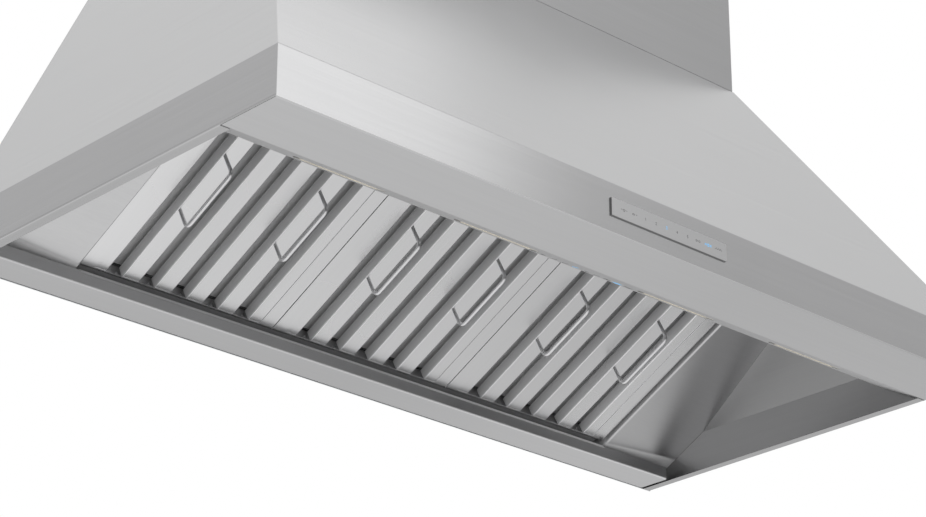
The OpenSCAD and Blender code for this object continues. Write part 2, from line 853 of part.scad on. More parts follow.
// The front baffles of one filter: channels that open away from the cook, with a slot between each two
module filter_front_baffles(i) {
    edge = filter_w / 2 - baffle_t - seam_gap;
    first = slot_edges[0] - slot_w / 2;
    fold_radius = baffle_fold_r + baffle_t;
    color(bright_steel)
        on_slope()
            translate([filter_xs[i], 0, 0])
                along_baffle() {
                    for (k = [0 : slot_count - 2])
                        sheet_section([[slot_edges[k] + slot_w / 2, front_flange_h],
                            [slot_edges[k] + slot_w / 2, baffle_t],
                            [slot_edges[k + 1] - slot_w / 2, baffle_t],
                            [slot_edges[k + 1] - slot_w / 2, front_flange_h]], baffle_t, fold_radius);
                    sheet_section([[-edge, baffle_t], [first, baffle_t], [first, front_flange_h]],
                        baffle_t, fold_radius);
                    sheet_section([[-first, front_flange_h], [-first, baffle_t], [edge, baffle_t]],
                        baffle_t, fold_radius);
                }
}

// The rear baffles of one filter: channels that face the slots from above
module filter_rear_baffles(i) {
    top = filter_t - baffle_t;
    half = rear_baffle_w / 2;
    color(inner_steel)
        on_slope()
            translate([filter_xs[i], 0, 0])
                along_baffle()
                    for (x = slot_edges)
                        sheet_section([[x - half, rear_flange_z], [x - half, top], [x + half, top],
                            [x + half, rear_flange_z]], -baffle_t, baffle_fold_r + baffle_t);
}

// A bent wire handle that stands below the plane z = 0, with its bar along Y
module wire_handle(l, drop) {
    reach = l / 2 - handle_bend_r;
    for (side = [-1, 1]) {
        translate([0, side * l / 2, -drop + handle_bend_r])
            cylinder(d = wire_d, h = drop - handle_bend_r);
        translate([0, side * reach, -drop + handle_bend_r])
            rotate([0, 90, 0])
                rotate([0, 0, side > 0 ? 0 : -90])
                    rotate_extrude(angle = 90)
                        translate([handle_bend_r, 0])
                            circle(d = wire_d);
    }
    translate([0, -reach, -drop])
        rotate([-90, 0, 0])
            cylinder(d = wire_d, h = 2 * reach);
}

// The two handles of one filter, each on the edge of a front baffle
module filter_handles(i) {
    color(wire_colour)
        on_slope()
            for (k = handle_slots)
                translate([filter_xs[i] + slot_edges[k] + slot_w / 2 + handle_inset + wire_d / 2,
                    -filter_start - handle_place, baffle_t])
                    wire_handle(handle_l, handle_h + baffle_t);
}

module filter_left_frame() { filter_frame(0); }
module filter_left_front_baffles() { filter_front_baffles(0); }
module filter_left_rear_baffles() { filter_rear_baffles(0); }
module filter_left_handles() { filter_handles(0); }
module filter_middle_frame() { filter_frame(1); }
module filter_middle_front_baffles() { filter_front_baffles(1); }
module filter_middle_rear_baffles() { filter_rear_baffles(1); }
module filter_middle_handles() { filter_handles(1); }
module filter_right_frame() { filter_frame(2); }
module filter_right_front_baffles() { filter_front_baffles(2); }
module filter_right_rear_baffles() { filter_rear_baffles(2); }
module filter_right_handles() { filter_handles(2); }

module control_plate() {
    color(plate_colour)
        translate([0, -canopy_d, control_z])
            along_y(control_t)
                polygon(round_rectangle(control_w, control_h, control_r));
}

module control_housing() {
    color(dark_plastic)
        translate([0, -canopy_d + sheet_t + control_depth, control_z])
            difference() {
                along_y(control_depth)
                    square([housing_w, housing_h], center = true);
                translate([0, -control_wall, 0])
                    along_y(control_depth)
                        square([housing_w - 2 * control_wall, housing_h - 2 * control_wall], center = true);
            }
}

module control_board() {
    color(board_colour)
        translate([0, -canopy_d + sheet_t + control_depth - control_wall, control_z])
            along_y(control_board_t)
                square([housing_w - 2 * control_wall - pocket_clear,
                    housing_h - 2 * control_wall - pocket_clear], center = true);
}

// The outline inside a scroll in depth and height, grown by d
function scroll_outline(d) = concat(
    [[cutoff_x - d, sqrt(pow(scroll_r_min + d, 2) - pow(cutoff_x - d, 2))]],
    [for (k = [1 : scroll_steps])
        let (share = k / scroll_steps, a = cutoff_angle + (360 - cutoff_angle) * share,
            r = scroll_r_min + (scroll_r_max - scroll_r_min) * share + d)
        r * [cos(a), sin(a)]],
    [[scroll_r_max + d, scroll_rise], [cutoff_x - d, scroll_rise]]);

// A wheel's housing: two cheeks with inlet holes, the spiral wrap and the outlet flange
module scroll(side) {
    color(inner_steel)
        translate([side * wheel_x, -blower_y, blower_z])
            difference() {
                union() {
                    along_x(2 * scroll_half)
                        polygon(scroll_outline(sheet_t));
                    block([-scroll_half - scroll_flange_w, cutoff_x - sheet_t - scroll_flange_w,
                        scroll_rise - sheet_t],
                        [scroll_half + scroll_flange_w, scroll_r_max + sheet_t + scroll_flange_w, scroll_rise]);
                }
                along_x(scroll_w)
                    polygon(scroll_outline(0));
                block([-scroll_w / 2, cutoff_x, scroll_rise - overrun],
                    [scroll_w / 2, scroll_r_max, scroll_rise + overrun]);
                rotate([0, 90, 0])
                    cylinder(r = inlet_r, h = 2 * scroll_half + 2 * overrun, center = true);
                for (dx = blower_bolt_dxs, y = blower_bolt_ys)
                    translate([dx, y + blower_y, scroll_rise])
                        cylinder(r = screw_r + screw_clear, h = 2 * sheet_t + 2 * overrun, center = true);
            }
}

module blower_scroll_left() { scroll(-1); }
module blower_scroll_right() { scroll(1); }

// The flared inlet rings in the scrolls' cheeks
module blower_inlets() {
    throat = [[inlet_r + inlet_collar, 0], [inlet_r - seam_gap, 0], [throat_r, -inlet_depth]];
    color(inner_steel)
        for (side = [-1, 1], face = [-1, 1])
            translate([side * wheel_x + face * scroll_half, -blower_y, blower_z])
                rotate([0, face * 90, 0])
                    rotate_extrude()
                        polygon(concat(throat, backwards(moved(throat, -inlet_lip))));
}

// The outline of one forward curved blade
function blade_outline() = let (
    curve = [for (k = [0 : blade_steps])
        let (share = k / blade_steps, r = wheel_r - blade_d * (1 - share), a = blade_lead * share * share)
        [r * cos(a), r * sin(a)]])
    concat(curve, backwards(moved(curve, blade_t)));

// A wheel with curved blades on both sides of its middle disc
module impeller(side) {
    color(bright_steel)
        translate([side * wheel_x, -blower_y, blower_z])
            rotate([0, 90, 0])
                difference() {
                    union() {
                        linear_extrude(wheel_w, center = true)
                            for (i = [0 : blade_count - 1])
                                rotate(i * 360 / blade_count)
                                    polygon(blade_outline());
                        for (end = [-1, 1])
                            translate([0, 0, end * (wheel_w - wheel_ring_w) / 2])
                                difference() {
                                    cylinder(r = wheel_r + wheel_ring_lip, h = wheel_ring_w, center = true);
                                    cylinder(r = wheel_r - blade_d / 2, h = wheel_ring_w + overrun,
                                        center = true);
                                }
                        cylinder(r = wheel_r + wheel_ring_lip, h = disc_t, center = true);
                        cylinder(r = hub_r, h = hub_l, center = true);
                    }
                    cylinder(r = shaft_r + hub_clear, h = hub_l + 2 * overrun, center = true);
                }
}

module impeller_left() { impeller(-1); }
module impeller_right() { impeller(1); }

module motor_shaft() {
    color(bright_steel)
        translate([0, -blower_y, blower_z])
            rotate([0, 90, 0])
                cylinder(r = shaft_r, h = 2 * shaft_half, center = true);
}

// The motor's can with its domed ends and bearing bosses, turned about the shaft
module motor() {
    bore = shaft_r + bearing_clear;
    dome = motor_r / 5;
    can = motor_l / 2;
    color(dark_plastic)
        translate([0, -blower_y, blower_z])
            rotate([0, 90, 0])
                rotate_extrude()
                    polygon([[bore, -motor_end_l], [boss_r, -motor_end_l], [boss_r, -can],
                        [motor_r - dome, -can], [motor_r, -can + dome], [motor_r, can - dome],
                        [motor_r - dome, can], [boss_r, can], [boss_r, motor_end_l], [bore, motor_end_l]]);
}

// Two plates that hang from the top plate and hold the motor in their rings
module motor_bracket() {
    ring = motor_r + bracket_clear + bracket_ring_w;
    color(inner_steel)
        translate([0, -blower_y, blower_z])
            for (side = [-1, 1])
                difference() {
                    union() {
                        translate([side * bracket_x, 0, 0])
                            along_x(bracket_t) {
                                circle(r = ring);
                                translate([-bracket_neck / 2, 0])
                                    square([bracket_neck, bracket_rise]);
                            }
                        block([side * bracket_x - bracket_t / 2 - (side < 0 ? bracket_neck / 3 : 0),
                            -bracket_neck / 2, bracket_rise - bracket_t],
                            [side * bracket_x + bracket_t / 2 + (side > 0 ? bracket_neck / 3 : 0),
                            bracket_neck / 2, bracket_rise]);
                    }
                    rotate([0, 90, 0])
                        cylinder(r = motor_r + bracket_clear, h = motor_l, center = true);
                }
}

// The motor's run capacitor in its foot clip
module run_capacitor() {
    foot = 1.4 * capacitor_r;
    color(bright_steel)
        translate([-power_box_x - foot, -power_box_y - foot, plate_top]) {
            cylinder(r = foot, h = sheet_t);
            cylinder(r = capacitor_r, h = capacitor_h);
        }
}

// The box that joins both scroll outlets to the round collar
module outlet_box() {
    low = [-outlet_box_x, -outlet_box_front, plate_top];
    high = [outlet_box_x, -outlet_box_rear, box_top];
    wall = [duct_t, duct_t, 0];
    rim = [outlet_flange_w, outlet_flange_w, 0];
    color(inner_steel)
        difference() {
            union() {
                block(low, high);
                block(low - rim, [high.x, high.y, plate_top + duct_t] + rim);
            }
            block(low + wall - [0, 0, overrun], high - wall - [0, 0, duct_t]);
            translate([0, -collar_y, box_top])
                cylinder(r = collar_bore, h = 2 * duct_t + 2 * overrun, center = true);
            collar_screw_places()
                cylinder(r = screw_r + screw_clear, h = 2 * duct_t + 2 * overrun, center = true);
        }
}

// Puts children at each screw of the collar's flange
module collar_screw_places() {
    for (a = collar_screw_angles)
        translate([collar_screw_r * cos(a), -collar_y + collar_screw_r * sin(a), box_top])
            children();
}

module duct_screws() {
    color(bright_steel)
        collar_screw_places()
            translate([0, 0, duct_t])
                screw(2 * duct_t + head_h);
}

// The round collar with its flange and the seat under the damper
module duct_collar() {
    seat_top = pin_z - flap_t / 2 - seat_gap;
    color(inner_steel)
        difference() {
            translate([0, -collar_y, box_top])
                rotate_extrude()
                    polygon([[collar_bore, 0], [collar_r + collar_flange_w, 0],
                        [collar_r + collar_flange_w, duct_t], [collar_r, duct_t], [collar_r, collar_h],
                        [collar_bore, collar_h], [collar_bore, seat_top], [collar_bore - seat_w, seat_top],
                        [collar_bore - seat_w, seat_top - duct_t], [collar_bore, seat_top - duct_t]]);
            damper_axis()
                cylinder(r = pin_r + pin_hole_clear, h = 2 * collar_r + 2 * overrun, center = true);
            collar_screw_places()
                cylinder(r = screw_r + screw_clear, h = 2 * duct_t + 2 * overrun, center = true);
        }
}

// Turns Z onto the damper's axis
module damper_axis() {
    translate([0, -collar_y, pin_height])
        rotate([0, 90, 0])
            children();
}

module damper_pin() {
    color(bright_steel)
        damper_axis()
            cylinder(r = pin_r, h = 2 * collar_r, center = true);
}

// A half round flap with knuckles at the given places, on the wall side of the pin
module damper_flap(places) {
    difference() {
        union() {
            intersection() {
                cylinder(r = flap_r, h = flap_t, center = true);
                block([-flap_r, leaf_edge, -flap_t], [flap_r, flap_r, flap_t]);
            }
            for (x = places)
                translate([x, 0, 0]) {
                    rotate([0, 90, 0])
                        cylinder(r = knuckle_r, h = knuckle_l, center = true);
                    block([-knuckle_l / 2, 0, -flap_t / 2], [knuckle_l / 2, leaf_edge + flap_t, flap_t / 2]);
                }
        }
        rotate([0, 90, 0])
            cylinder(r = pin_r + knuckle_clear, h = 2 * flap_r, center = true);
    }
}

module damper_flap_rear() {
    color(bright_steel)
        translate([0, -collar_y, pin_height])
            damper_flap([-knuckle_inner, knuckle_inner]);
}

module damper_flap_front() {
    color(bright_steel)
        translate([0, -collar_y, pin_height])
            mirror([0, 1, 0])
                damper_flap([-knuckle_outer, knuckle_outer]);
}

// The corners of the power box
function power_low() = [power_box_x, -power_box_y - power_box_d, plate_top];
function power_high() = [power_box_x + power_box_w, -power_box_y, plate_top + power_box_h];

// Turns Z onto the cable gland's axis, from its outer end into the box
module gland_axis() {
    translate([power_box_x + power_box_w / 2, -power_box_y, plate_top + power_box_h / 2])
        rotate([90, 0, 0])
            children();
}

module power_box() {
    wall = [power_box_t, power_box_t, power_box_t];
    color(inner_steel)
        difference() {
            block(power_low(), power_high());
            block(power_low() + wall, power_high() - [power_box_t, power_box_t, -overrun]);
            gland_axis()
                cylinder(r = gland_r + seam_gap, h = 2 * power_box_t + 2 * overrun, center = true);
            wire_hole();
        }
}

module power_box_cover() {
    lip = [power_box_t + seam_gap, power_box_t + seam_gap, 0];
    low = power_low();
    high = power_high();
    color(inner_steel)
        difference() {
            union() {
                block([low.x, low.y, high.z], high + [0, 0, power_box_t]);
                block([low.x, low.y, high.z - box_lip_h] + lip, high - lip + [0, 0, power_box_t / 2]);
            }
            block([low.x, low.y, high.z - box_lip_h - overrun] + 2 * lip, high - 2 * lip);
        }
}

// The blower's control module with its terminal block and transformer
module power_module() {
    inside = [power_box_t, power_box_t, power_box_t];
    low = power_low() + inside;
    high = power_high() - inside;
    size = high - low;
    board_top = low.z + 0.14 * size.z;
    color(board_colour) {
        block([low.x + 0.1 * size.x, low.y + 0.2 * size.y, low.z],
            [high.x - 0.1 * size.x, high.y - 0.08 * size.y, board_top]);
        block([low.x + 0.6 * size.x, low.y + 0.4 * size.y, board_top],
            [high.x - 0.16 * size.x, high.y - 0.16 * size.y, low.z + 0.7 * size.z]);
        block([low.x + 0.15 * size.x, low.y + 0.25 * size.y, board_top],
            [low.x + 0.3 * size.x, high.y - 0.15 * size.y, low.z + 0.4 * size.z]);
    }
}

// The gland that the supply cable enters through
module cable_gland() {
    nut_r = 1.4 * gland_r;
    nut_h = 0.4 * gland_l;
    color(dark_plastic)
        gland_axis()
            difference() {
                union() {
                    translate([0, 0, -gland_l])
                        cylinder(r = 1.1 * gland_r, h = gland_l - nut_h);
                    translate([0, 0, -nut_h])
                        cylinder(r = nut_r, h = nut_h, $fn = head_sides);
                    cylinder(r = gland_r, h = power_box_t + nut_h);
                }
                translate([0, 0, -gland_l - overrun])
                    cylinder(r = cable_r, h = 2 * gland_l + 2 * overrun);
            }
}

// Three walls of a chimney cover with returns along the wall, as a plan outline
module cover_outline(x, y) {
    path = [[-x + cover_return_w, 0], [-x, 0], [-x, -y], [x, -y], [x, 0], [x - cover_return_w, 0]];
    sheet_section(path, cover_t, fold_r + cover_t);
}

module chimney_lower() {
    inner = [cover_inner_x, cover_inner_y];
    color(steel)
        translate([0, 0, canopy_h]) {
            linear_extrude(lower_cover_h)
                cover_outline(half_chimney, chimney_d);
            linear_extrude(cover_t)
                difference() {
                    translate([-inner.x - cover_t / 2, -inner.y - cover_t / 2])
                        square([2 * inner.x + cover_t, inner.y - fold_r - cover_t]);
                    translate([-inner.x + cover_foot_w, -inner.y + cover_foot_w])
                        square([2 * (inner.x - cover_foot_w), inner.y + overrun]);
                    for (side = [-1, 1])
                        translate([side * inner.x, -inner.y])
                            square(2 * (fold_r + cover_t), center = true);
                }
        }
}

module chimney_upper() {
    color(steel)
        translate([0, 0, upper_foot])
            linear_extrude(upper_cover_h)
                translate([0, -cover_t - cover_gap])
                    cover_outline(upper_x, upper_y - cover_t - cover_gap);
}

// Puts children at each clip, on the canopy at the inside of the cover, turned so that X points inwards
module clip_places() {
    for (side = [0, 1], y = clip_ys)
        mirror([side, 0, 0])
            translate([-cover_inner_x, y, canopy_h + cover_t])
                children();
}

module chimney_clips() {
    color(inner_steel)
        clip_places()
            difference() {
                union() {
                    block([0, -clip_l / 2, 0], [clip_base_w, clip_l / 2, clip_t]);
                    block([0, -clip_l / 2, 0], [clip_t, clip_l / 2, clip_h - cover_t]);
                }
                clip_screw_places()
                    cylinder(r = screw_r + screw_clear, h = 2 * clip_t + 2 * overrun, center = true);
            }
}

// Puts children at each of the two screws in a clip's base, beside the cover's foot
module clip_screw_places() {
    for (end = [-1, 1])
        translate([clip_base_w - head_r - seam_gap, end * clip_l / 4, clip_t])
            children();
}

module clip_screws() {
    color(bright_steel)
        clip_places()
            clip_screw_places()
                screw(clip_t + cover_t / 2);
}

// The strap inside the top of the upper cover
module ceiling_bracket() {
    x = upper_x - cover_t;
    y = -2 * cover_t - cover_gap - fold_r - seam_gap;
    color(inner_steel)
        difference() {
            translate([0, y, 0])
                along_y(ceiling_bracket_d)
                    polygon([[-x, upper_top - ceiling_leg_h], [-x, upper_top], [x, upper_top],
                        [x, upper_top - ceiling_leg_h], [x - ceiling_t, upper_top - ceiling_leg_h],
                        [x - ceiling_t, upper_top - ceiling_t], [-x + ceiling_t, upper_top - ceiling_t],
                        [-x + ceiling_t, upper_top - ceiling_leg_h]]);
            for (side = [-1, 1])
                translate([side * ceiling_bolt_x / 2, y - ceiling_bracket_d / 2, upper_top])
                    cylinder(r = wall_bolt_r, h = 2 * ceiling_t + 2 * overrun, center = true);
        }
}

canopy_front();
canopy_left();
canopy_right();
canopy_back();
canopy_top();
light_pan();
grease_trough();
liner_left();
liner_right();
liner_front();
filter_front_rail();
filter_rear_ledge();
filter_left_frame();
filter_left_front_baffles();
filter_left_rear_baffles();
filter_left_handles();
filter_middle_frame();
filter_middle_front_baffles();
filter_middle_rear_baffles();
filter_middle_handles();
filter_right_frame();
filter_right_front_baffles();
filter_right_rear_baffles();
filter_right_handles();
lamp_bezels();
lamp_lenses();
lamp_boards();
control_plate();
control_housing();
control_board();
blower_scroll_left();
blower_scroll_right();
blower_inlets();
motor();
motor_bracket();
motor_shaft();
impeller_left();
impeller_right();
run_capacitor();
outlet_box();
duct_collar();
damper_pin();
damper_flap_front();
damper_flap_rear();
power_box();
power_box_cover();
power_module();
cable_gland();
chimney_lower();
chimney_upper();
chimney_clips();
ceiling_bracket();
wall_rail();
blower_bolts();
clip_screws();
duct_screws();
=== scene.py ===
"""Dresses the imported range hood: brushed canopy and chimney, baffle filters, lamps, touch control, blower.

Every length is in metres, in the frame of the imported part: +Z up, +Y into the wall, origin on the wall at the
middle of the lower rim.
"""

import json
import logging
import math
from dataclasses import dataclass, field, replace
from enum import Enum
from typing import ClassVar

import bmesh
import bpy
from mathutils import Matrix, Vector

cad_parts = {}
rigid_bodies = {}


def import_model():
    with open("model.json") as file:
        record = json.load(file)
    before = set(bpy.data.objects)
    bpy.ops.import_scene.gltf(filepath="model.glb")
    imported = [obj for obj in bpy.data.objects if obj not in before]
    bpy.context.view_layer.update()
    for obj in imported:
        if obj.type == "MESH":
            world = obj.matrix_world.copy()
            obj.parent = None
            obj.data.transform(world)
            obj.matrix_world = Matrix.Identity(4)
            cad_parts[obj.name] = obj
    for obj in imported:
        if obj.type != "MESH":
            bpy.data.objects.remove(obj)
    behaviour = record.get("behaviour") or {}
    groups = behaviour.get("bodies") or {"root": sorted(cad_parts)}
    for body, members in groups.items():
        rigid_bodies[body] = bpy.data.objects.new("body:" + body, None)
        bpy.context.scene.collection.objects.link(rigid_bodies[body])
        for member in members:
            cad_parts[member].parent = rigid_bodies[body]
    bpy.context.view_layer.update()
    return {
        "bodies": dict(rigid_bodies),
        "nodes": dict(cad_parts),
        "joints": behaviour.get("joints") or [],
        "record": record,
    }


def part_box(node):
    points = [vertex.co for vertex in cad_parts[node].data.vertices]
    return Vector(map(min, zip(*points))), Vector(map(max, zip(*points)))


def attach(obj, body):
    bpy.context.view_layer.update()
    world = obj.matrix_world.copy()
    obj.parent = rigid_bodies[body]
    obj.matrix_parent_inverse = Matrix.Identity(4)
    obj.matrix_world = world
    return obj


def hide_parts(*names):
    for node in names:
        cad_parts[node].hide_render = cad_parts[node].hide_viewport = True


LOG = logging.getLogger("range_hood")
MM = 0.001
ROOT = "root"
FILTER_TILT = 27.0
FLOAT = "NodeSocketFloat"
INTEGER = "NodeSocketInt"
VECTOR = "NodeSocketVector"
GEOMETRY = "NodeSocketGeometry"

Pair = tuple[float, float]
Triple = tuple[float, float, float]
Inputs = dict[str | int, object]
Paths = list[list[Vector]]
Socket = bpy.types.NodeSocket


@dataclass
class Shelf:
    """Places nodes in a tree and joins them.

    Args:
        tree: The node tree that the nodes go into.
    """

    tree: bpy.types.NodeTree

    def node(self, kind: str, inputs: Inputs | None = None, **settings: object) -> bpy.types.Node:
        """Adds a node.

        Args:
            kind: The node's type name.
            inputs: What its inputs take, by their names or places.
            **settings: Attributes to set on it.

        Returns:
            The new node.
        """
        made = self.tree.nodes.new(kind)
        for name, value in settings.items():
            setattr(made, name, value)
        self.feed(made, inputs or {})
        return made

    def feed(self, node: bpy.types.Node, inputs: Inputs) -> None:
        """Links or sets the inputs of a node.

        Args:
            node: The node.
            inputs: The output socket or the plain value that each input takes, by its name or place.
        """
        for name, value in inputs.items():
            if isinstance(value, Socket):
                self.tree.links.new(value, node.inputs[name])
            else:
                node.inputs[name].default_value = value

    def group(self, tree: bpy.types.NodeTree, inputs: Inputs) -> bpy.types.Node:
        """Places a shared node group, and gives its node."""
        return self.node("ShaderNodeGroup", inputs, node_tree=tree)

    def math(self, operation: str, first: object, second: object) -> Socket:
        """Works out two numbers or sockets with a math node, and gives its output."""
        return self.node("ShaderNodeMath", {0: first, 1: second}, operation=operation).outputs[0]

    def scaled(self, colour: Triple, shade: Socket) -> Socket:
        """Scales a colour by a shade, and gives it."""
        return self.node("ShaderNodeVectorMath", {0: colour, "Scale": shade}, operation="SCALE").outputs[0]

    def mixed(self, share: Socket, first: Socket, second: Socket) -> Socket:
        """Mixes two shaders, and gives the mix."""
        return self.node("ShaderNodeMixShader", {0: share, 1: first, 2: second}).outputs[0]

    def noise(self, vector: Socket, scale: object, detail: float) -> Socket:
        """Adds a noise texture, and gives its value from 0 to 1."""
        inputs = {"Vector": vector, "Scale": scale, "Detail": detail}
        return self.node("ShaderNodeTexNoise", inputs).outputs[0]

    def swing(self, value: Socket, strength: Socket) -> Socket:
        """Turns a value from 0 to 1 into a shade that swings about 1.

        Args:
            value: The value.
            strength: How far the shade swings in all.

        Returns:
            The shade.
        """
        return self.math("ADD", self.math("MULTIPLY", self.math("SUBTRACT", value, 0.5), strength), 1.0)

    def ramp(self, value: Socket, span: tuple[object, object], ends: Pair = (0.0, 1.0)) -> Socket:
        """Maps a value from one range to another, and clamps it.

        Args:
            value: The value to map.
            span: The values that give the two ends.
            ends: The results at those values.

        Returns:
            The mapped value.
        """
        inputs = {"Value": value, "From Min": span[0], "From Max": span[1],
                  "To Min": ends[0], "To Max": ends[1]}
        return self.node("ShaderNodeMapRange", inputs).outputs["Result"]


def open_group(name: str, kind: str, inputs: dict[str, str], outputs: dict[str, str]) \
        -> tuple[Shelf, bpy.types.Node, bpy.types.Node]:
    """Starts a node group.

    Args:
        name: The group's name.
        kind: The type name of its tree.
        inputs: The socket type of each input.
        outputs: The socket type of each output.

    Returns:
        Its shelf, the node that gives its inputs and the node that takes its outputs.
    """
    tree = bpy.data.node_groups.new(name, kind)
    for way, sockets in (("INPUT", inputs), ("OUTPUT", outputs)):
        for label, socket_type in sockets.items():
            tree.interface.new_socket(label, in_out=way, socket_type=socket_type)
    shelf = Shelf(tree)
    return shelf, shelf.node("NodeGroupInput"), shelf.node("NodeGroupOutput")


def open_material(name: str) -> tuple[bpy.types.Material, Shelf, bpy.types.Node]:
    """Starts a material.

    Args:
        name: The material's name.

    Returns:
        The material, its shelf and its shader.
    """
    material = bpy.data.materials.new(name)
    material.use_nodes = True
    return material, Shelf(material.node_tree), material.node_tree.nodes["Principled BSDF"]


def place_object(name: str, data: bpy.types.ID) -> bpy.types.Object:
    """Puts data into the scene as an object at the origin.

    Args:
        name: The object's name.
        data: Its mesh, lamp or camera.

    Returns:
        The object.
    """
    made = bpy.data.objects.new(name, data)
    bpy.context.scene.collection.objects.link(made)
    return made


@dataclass(frozen=True)
class SurfaceGroups:
    """The node groups that the finishes share.

    Args:
        brushed: The brushed grain.
        smudges: The slow variation of a sheet.
        dust: The fine speckle.
        facing: The mask through which the face rules paint light and shade into the colour and change the
            finish.
    """

    brushed: bpy.types.NodeTree
    smudges: bpy.types.NodeTree
    dust: bpy.types.NodeTree
    facing: bpy.types.NodeTree

    @classmethod
    def build(cls) -> "SurfaceGroups":
        """Builds each group once, and gives them."""
        return cls(cls.make_brushed(), cls.make_smudges(), cls.make_dust(), cls.make_facing())

    @staticmethod
    def make_brushed() -> bpy.types.NodeTree:
        """Builds the brushed grain: long fine scratches with wider soft bands between them.

        Returns:
            The group, with the inputs Vector, Contrast and Depth and the outputs Shade and Height.
        """
        fine_share = 0.62
        wide_share = 0.38
        wide_scale = 0.17
        detail = 2.0
        shelf, given, result = open_group("brushed grain", "ShaderNodeTree",
                                          {"Vector": VECTOR, "Contrast": FLOAT, "Depth": FLOAT},
                                          {"Shade": FLOAT, "Height": FLOAT})
        fine = shelf.noise(given.outputs["Vector"], 1.0, detail)
        wide = shelf.noise(given.outputs["Vector"], wide_scale, detail)
        both = shelf.math("ADD", shelf.math("MULTIPLY", fine, fine_share),
                          shelf.math("MULTIPLY", wide, wide_share))
        height = shelf.math("MULTIPLY", shelf.math("SUBTRACT", both, 0.5), given.outputs["Depth"])
        shelf.feed(result, {"Shade": shelf.swing(both, given.outputs["Contrast"]), "Height": height})
        return shelf.tree

    @staticmethod
    def make_smudges() -> bpy.types.NodeTree:
        """Builds the slow variation that handling and rolling leave on a sheet.

        Returns:
            The group, with the inputs Vector, Size and Strength and the outputs Shade and Haze.
        """
        detail = 3.0
        haze_span = (0.35, 0.75)
        shelf, given, result = open_group("sheet variation", "ShaderNodeTree",
                                          {"Vector": VECTOR, "Size": FLOAT, "Strength": FLOAT},
                                          {"Shade": FLOAT, "Haze": FLOAT})
        slow = shelf.noise(given.outputs["Vector"], given.outputs["Size"], detail)
        shelf.feed(result, {"Shade": shelf.swing(slow, given.outputs["Strength"]),
                            "Haze": shelf.ramp(slow, haze_span)})
        return shelf.tree

    @staticmethod
    def make_dust() -> bpy.types.NodeTree:
        """Builds a fine speckle for zinc spangle, cast paint and moulded plastic.

        Returns:
            The group, with the inputs Vector, Size and Strength and the output Shade.
        """
        shelf, given, result = open_group("speckle", "ShaderNodeTree",
                                          {"Vector": VECTOR, "Size": FLOAT, "Strength": FLOAT},
                                          {"Shade": FLOAT})
        cells = shelf.node("ShaderNodeTexVoronoi",
                           {"Vector": given.outputs["Vector"], "Scale": given.outputs["Size"]})
        parts = shelf.node("ShaderNodeSeparateColor", {0: cells.outputs["Color"]})
        shelf.feed(result, {"Shade": shelf.swing(parts.outputs[0], given.outputs["Strength"])})
        return shelf.tree

    @staticmethod
    def make_facing() -> bpy.types.NodeTree:
        """Builds the mask of the faces that look one way, or of the places that lie far enough that way.

        Returns:
            The group, with the inputs Vector, Direction, Low and High and the output Mask.
        """
        shelf, given, result = open_group("facing", "ShaderNodeTree",
                                          {"Vector": VECTOR, "Direction": VECTOR, "Low": FLOAT,
                                           "High": FLOAT}, {"Mask": FLOAT})
        along = shelf.node("ShaderNodeVectorMath",
                           {0: given.outputs["Vector"], 1: given.outputs["Direction"]},
                           operation="DOT_PRODUCT")
        span = (given.outputs["Low"], given.outputs["High"])
        shelf.feed(result, {"Mask": shelf.ramp(along.outputs["Value"], span)})
        return shelf.tree


class Reads(Enum):
    """What a face rule compares with its direction, as an output of the Texture Coordinate node."""

    NORMAL = "Normal"
    PLACE = "Object"


@dataclass(frozen=True)
class Facing:
    """How a finish changes on the faces that look one way, or at the places that lie far enough that way.

    Args:
        direction: The unit direction.
        span: Where the change starts and where it is complete: the cosine between it and the way that a face
            looks, or the distance of a place along it.
        shade: The colour there, as a share of the finish's own: painted light above 1, painted shade below 1.
        roughness: What is added to the roughness there.
        metallic: The metallic share there, as a share of the finish's own.
        reads: Whether it reads the way that a face looks or the place of a point.
    """

    direction: Triple
    span: Pair
    shade: float = 1.0
    roughness: float = 0.0
    metallic: float = 1.0
    reads: Reads = Reads.NORMAL

    def mask(self, shelf: Shelf, groups: SurfaceGroups, surface: bpy.types.Node) -> Socket:
        """Places the facing group for this rule.

        Args:
            shelf: The material's shelf.
            groups: The shared node groups.
            surface: The material's Texture Coordinate node.

        Returns:
            The mask, 1 where the rule holds.
        """
        inputs = {"Vector": surface.outputs[self.reads.value], "Direction": self.direction,
                  "Low": self.span[0], "High": self.span[1]}
        return shelf.group(groups.facing, inputs).outputs["Mask"]


class Grain(Enum):
    """The direction that a brushed or rolled surface's grain runs in, as noise scales along X, Y and Z."""

    WIDTH = (6.0, 900.0, 900.0)
    DEPTH = (900.0, 6.0, 900.0)
    HEIGHT = (900.0, 900.0, 6.0)
    EVEN = (260.0, 260.0, 260.0)


class Metal(Enum):
    """How metallic a finish is."""

    BARE = 1.0
    DULL = 0.45
    COATED = 0.0


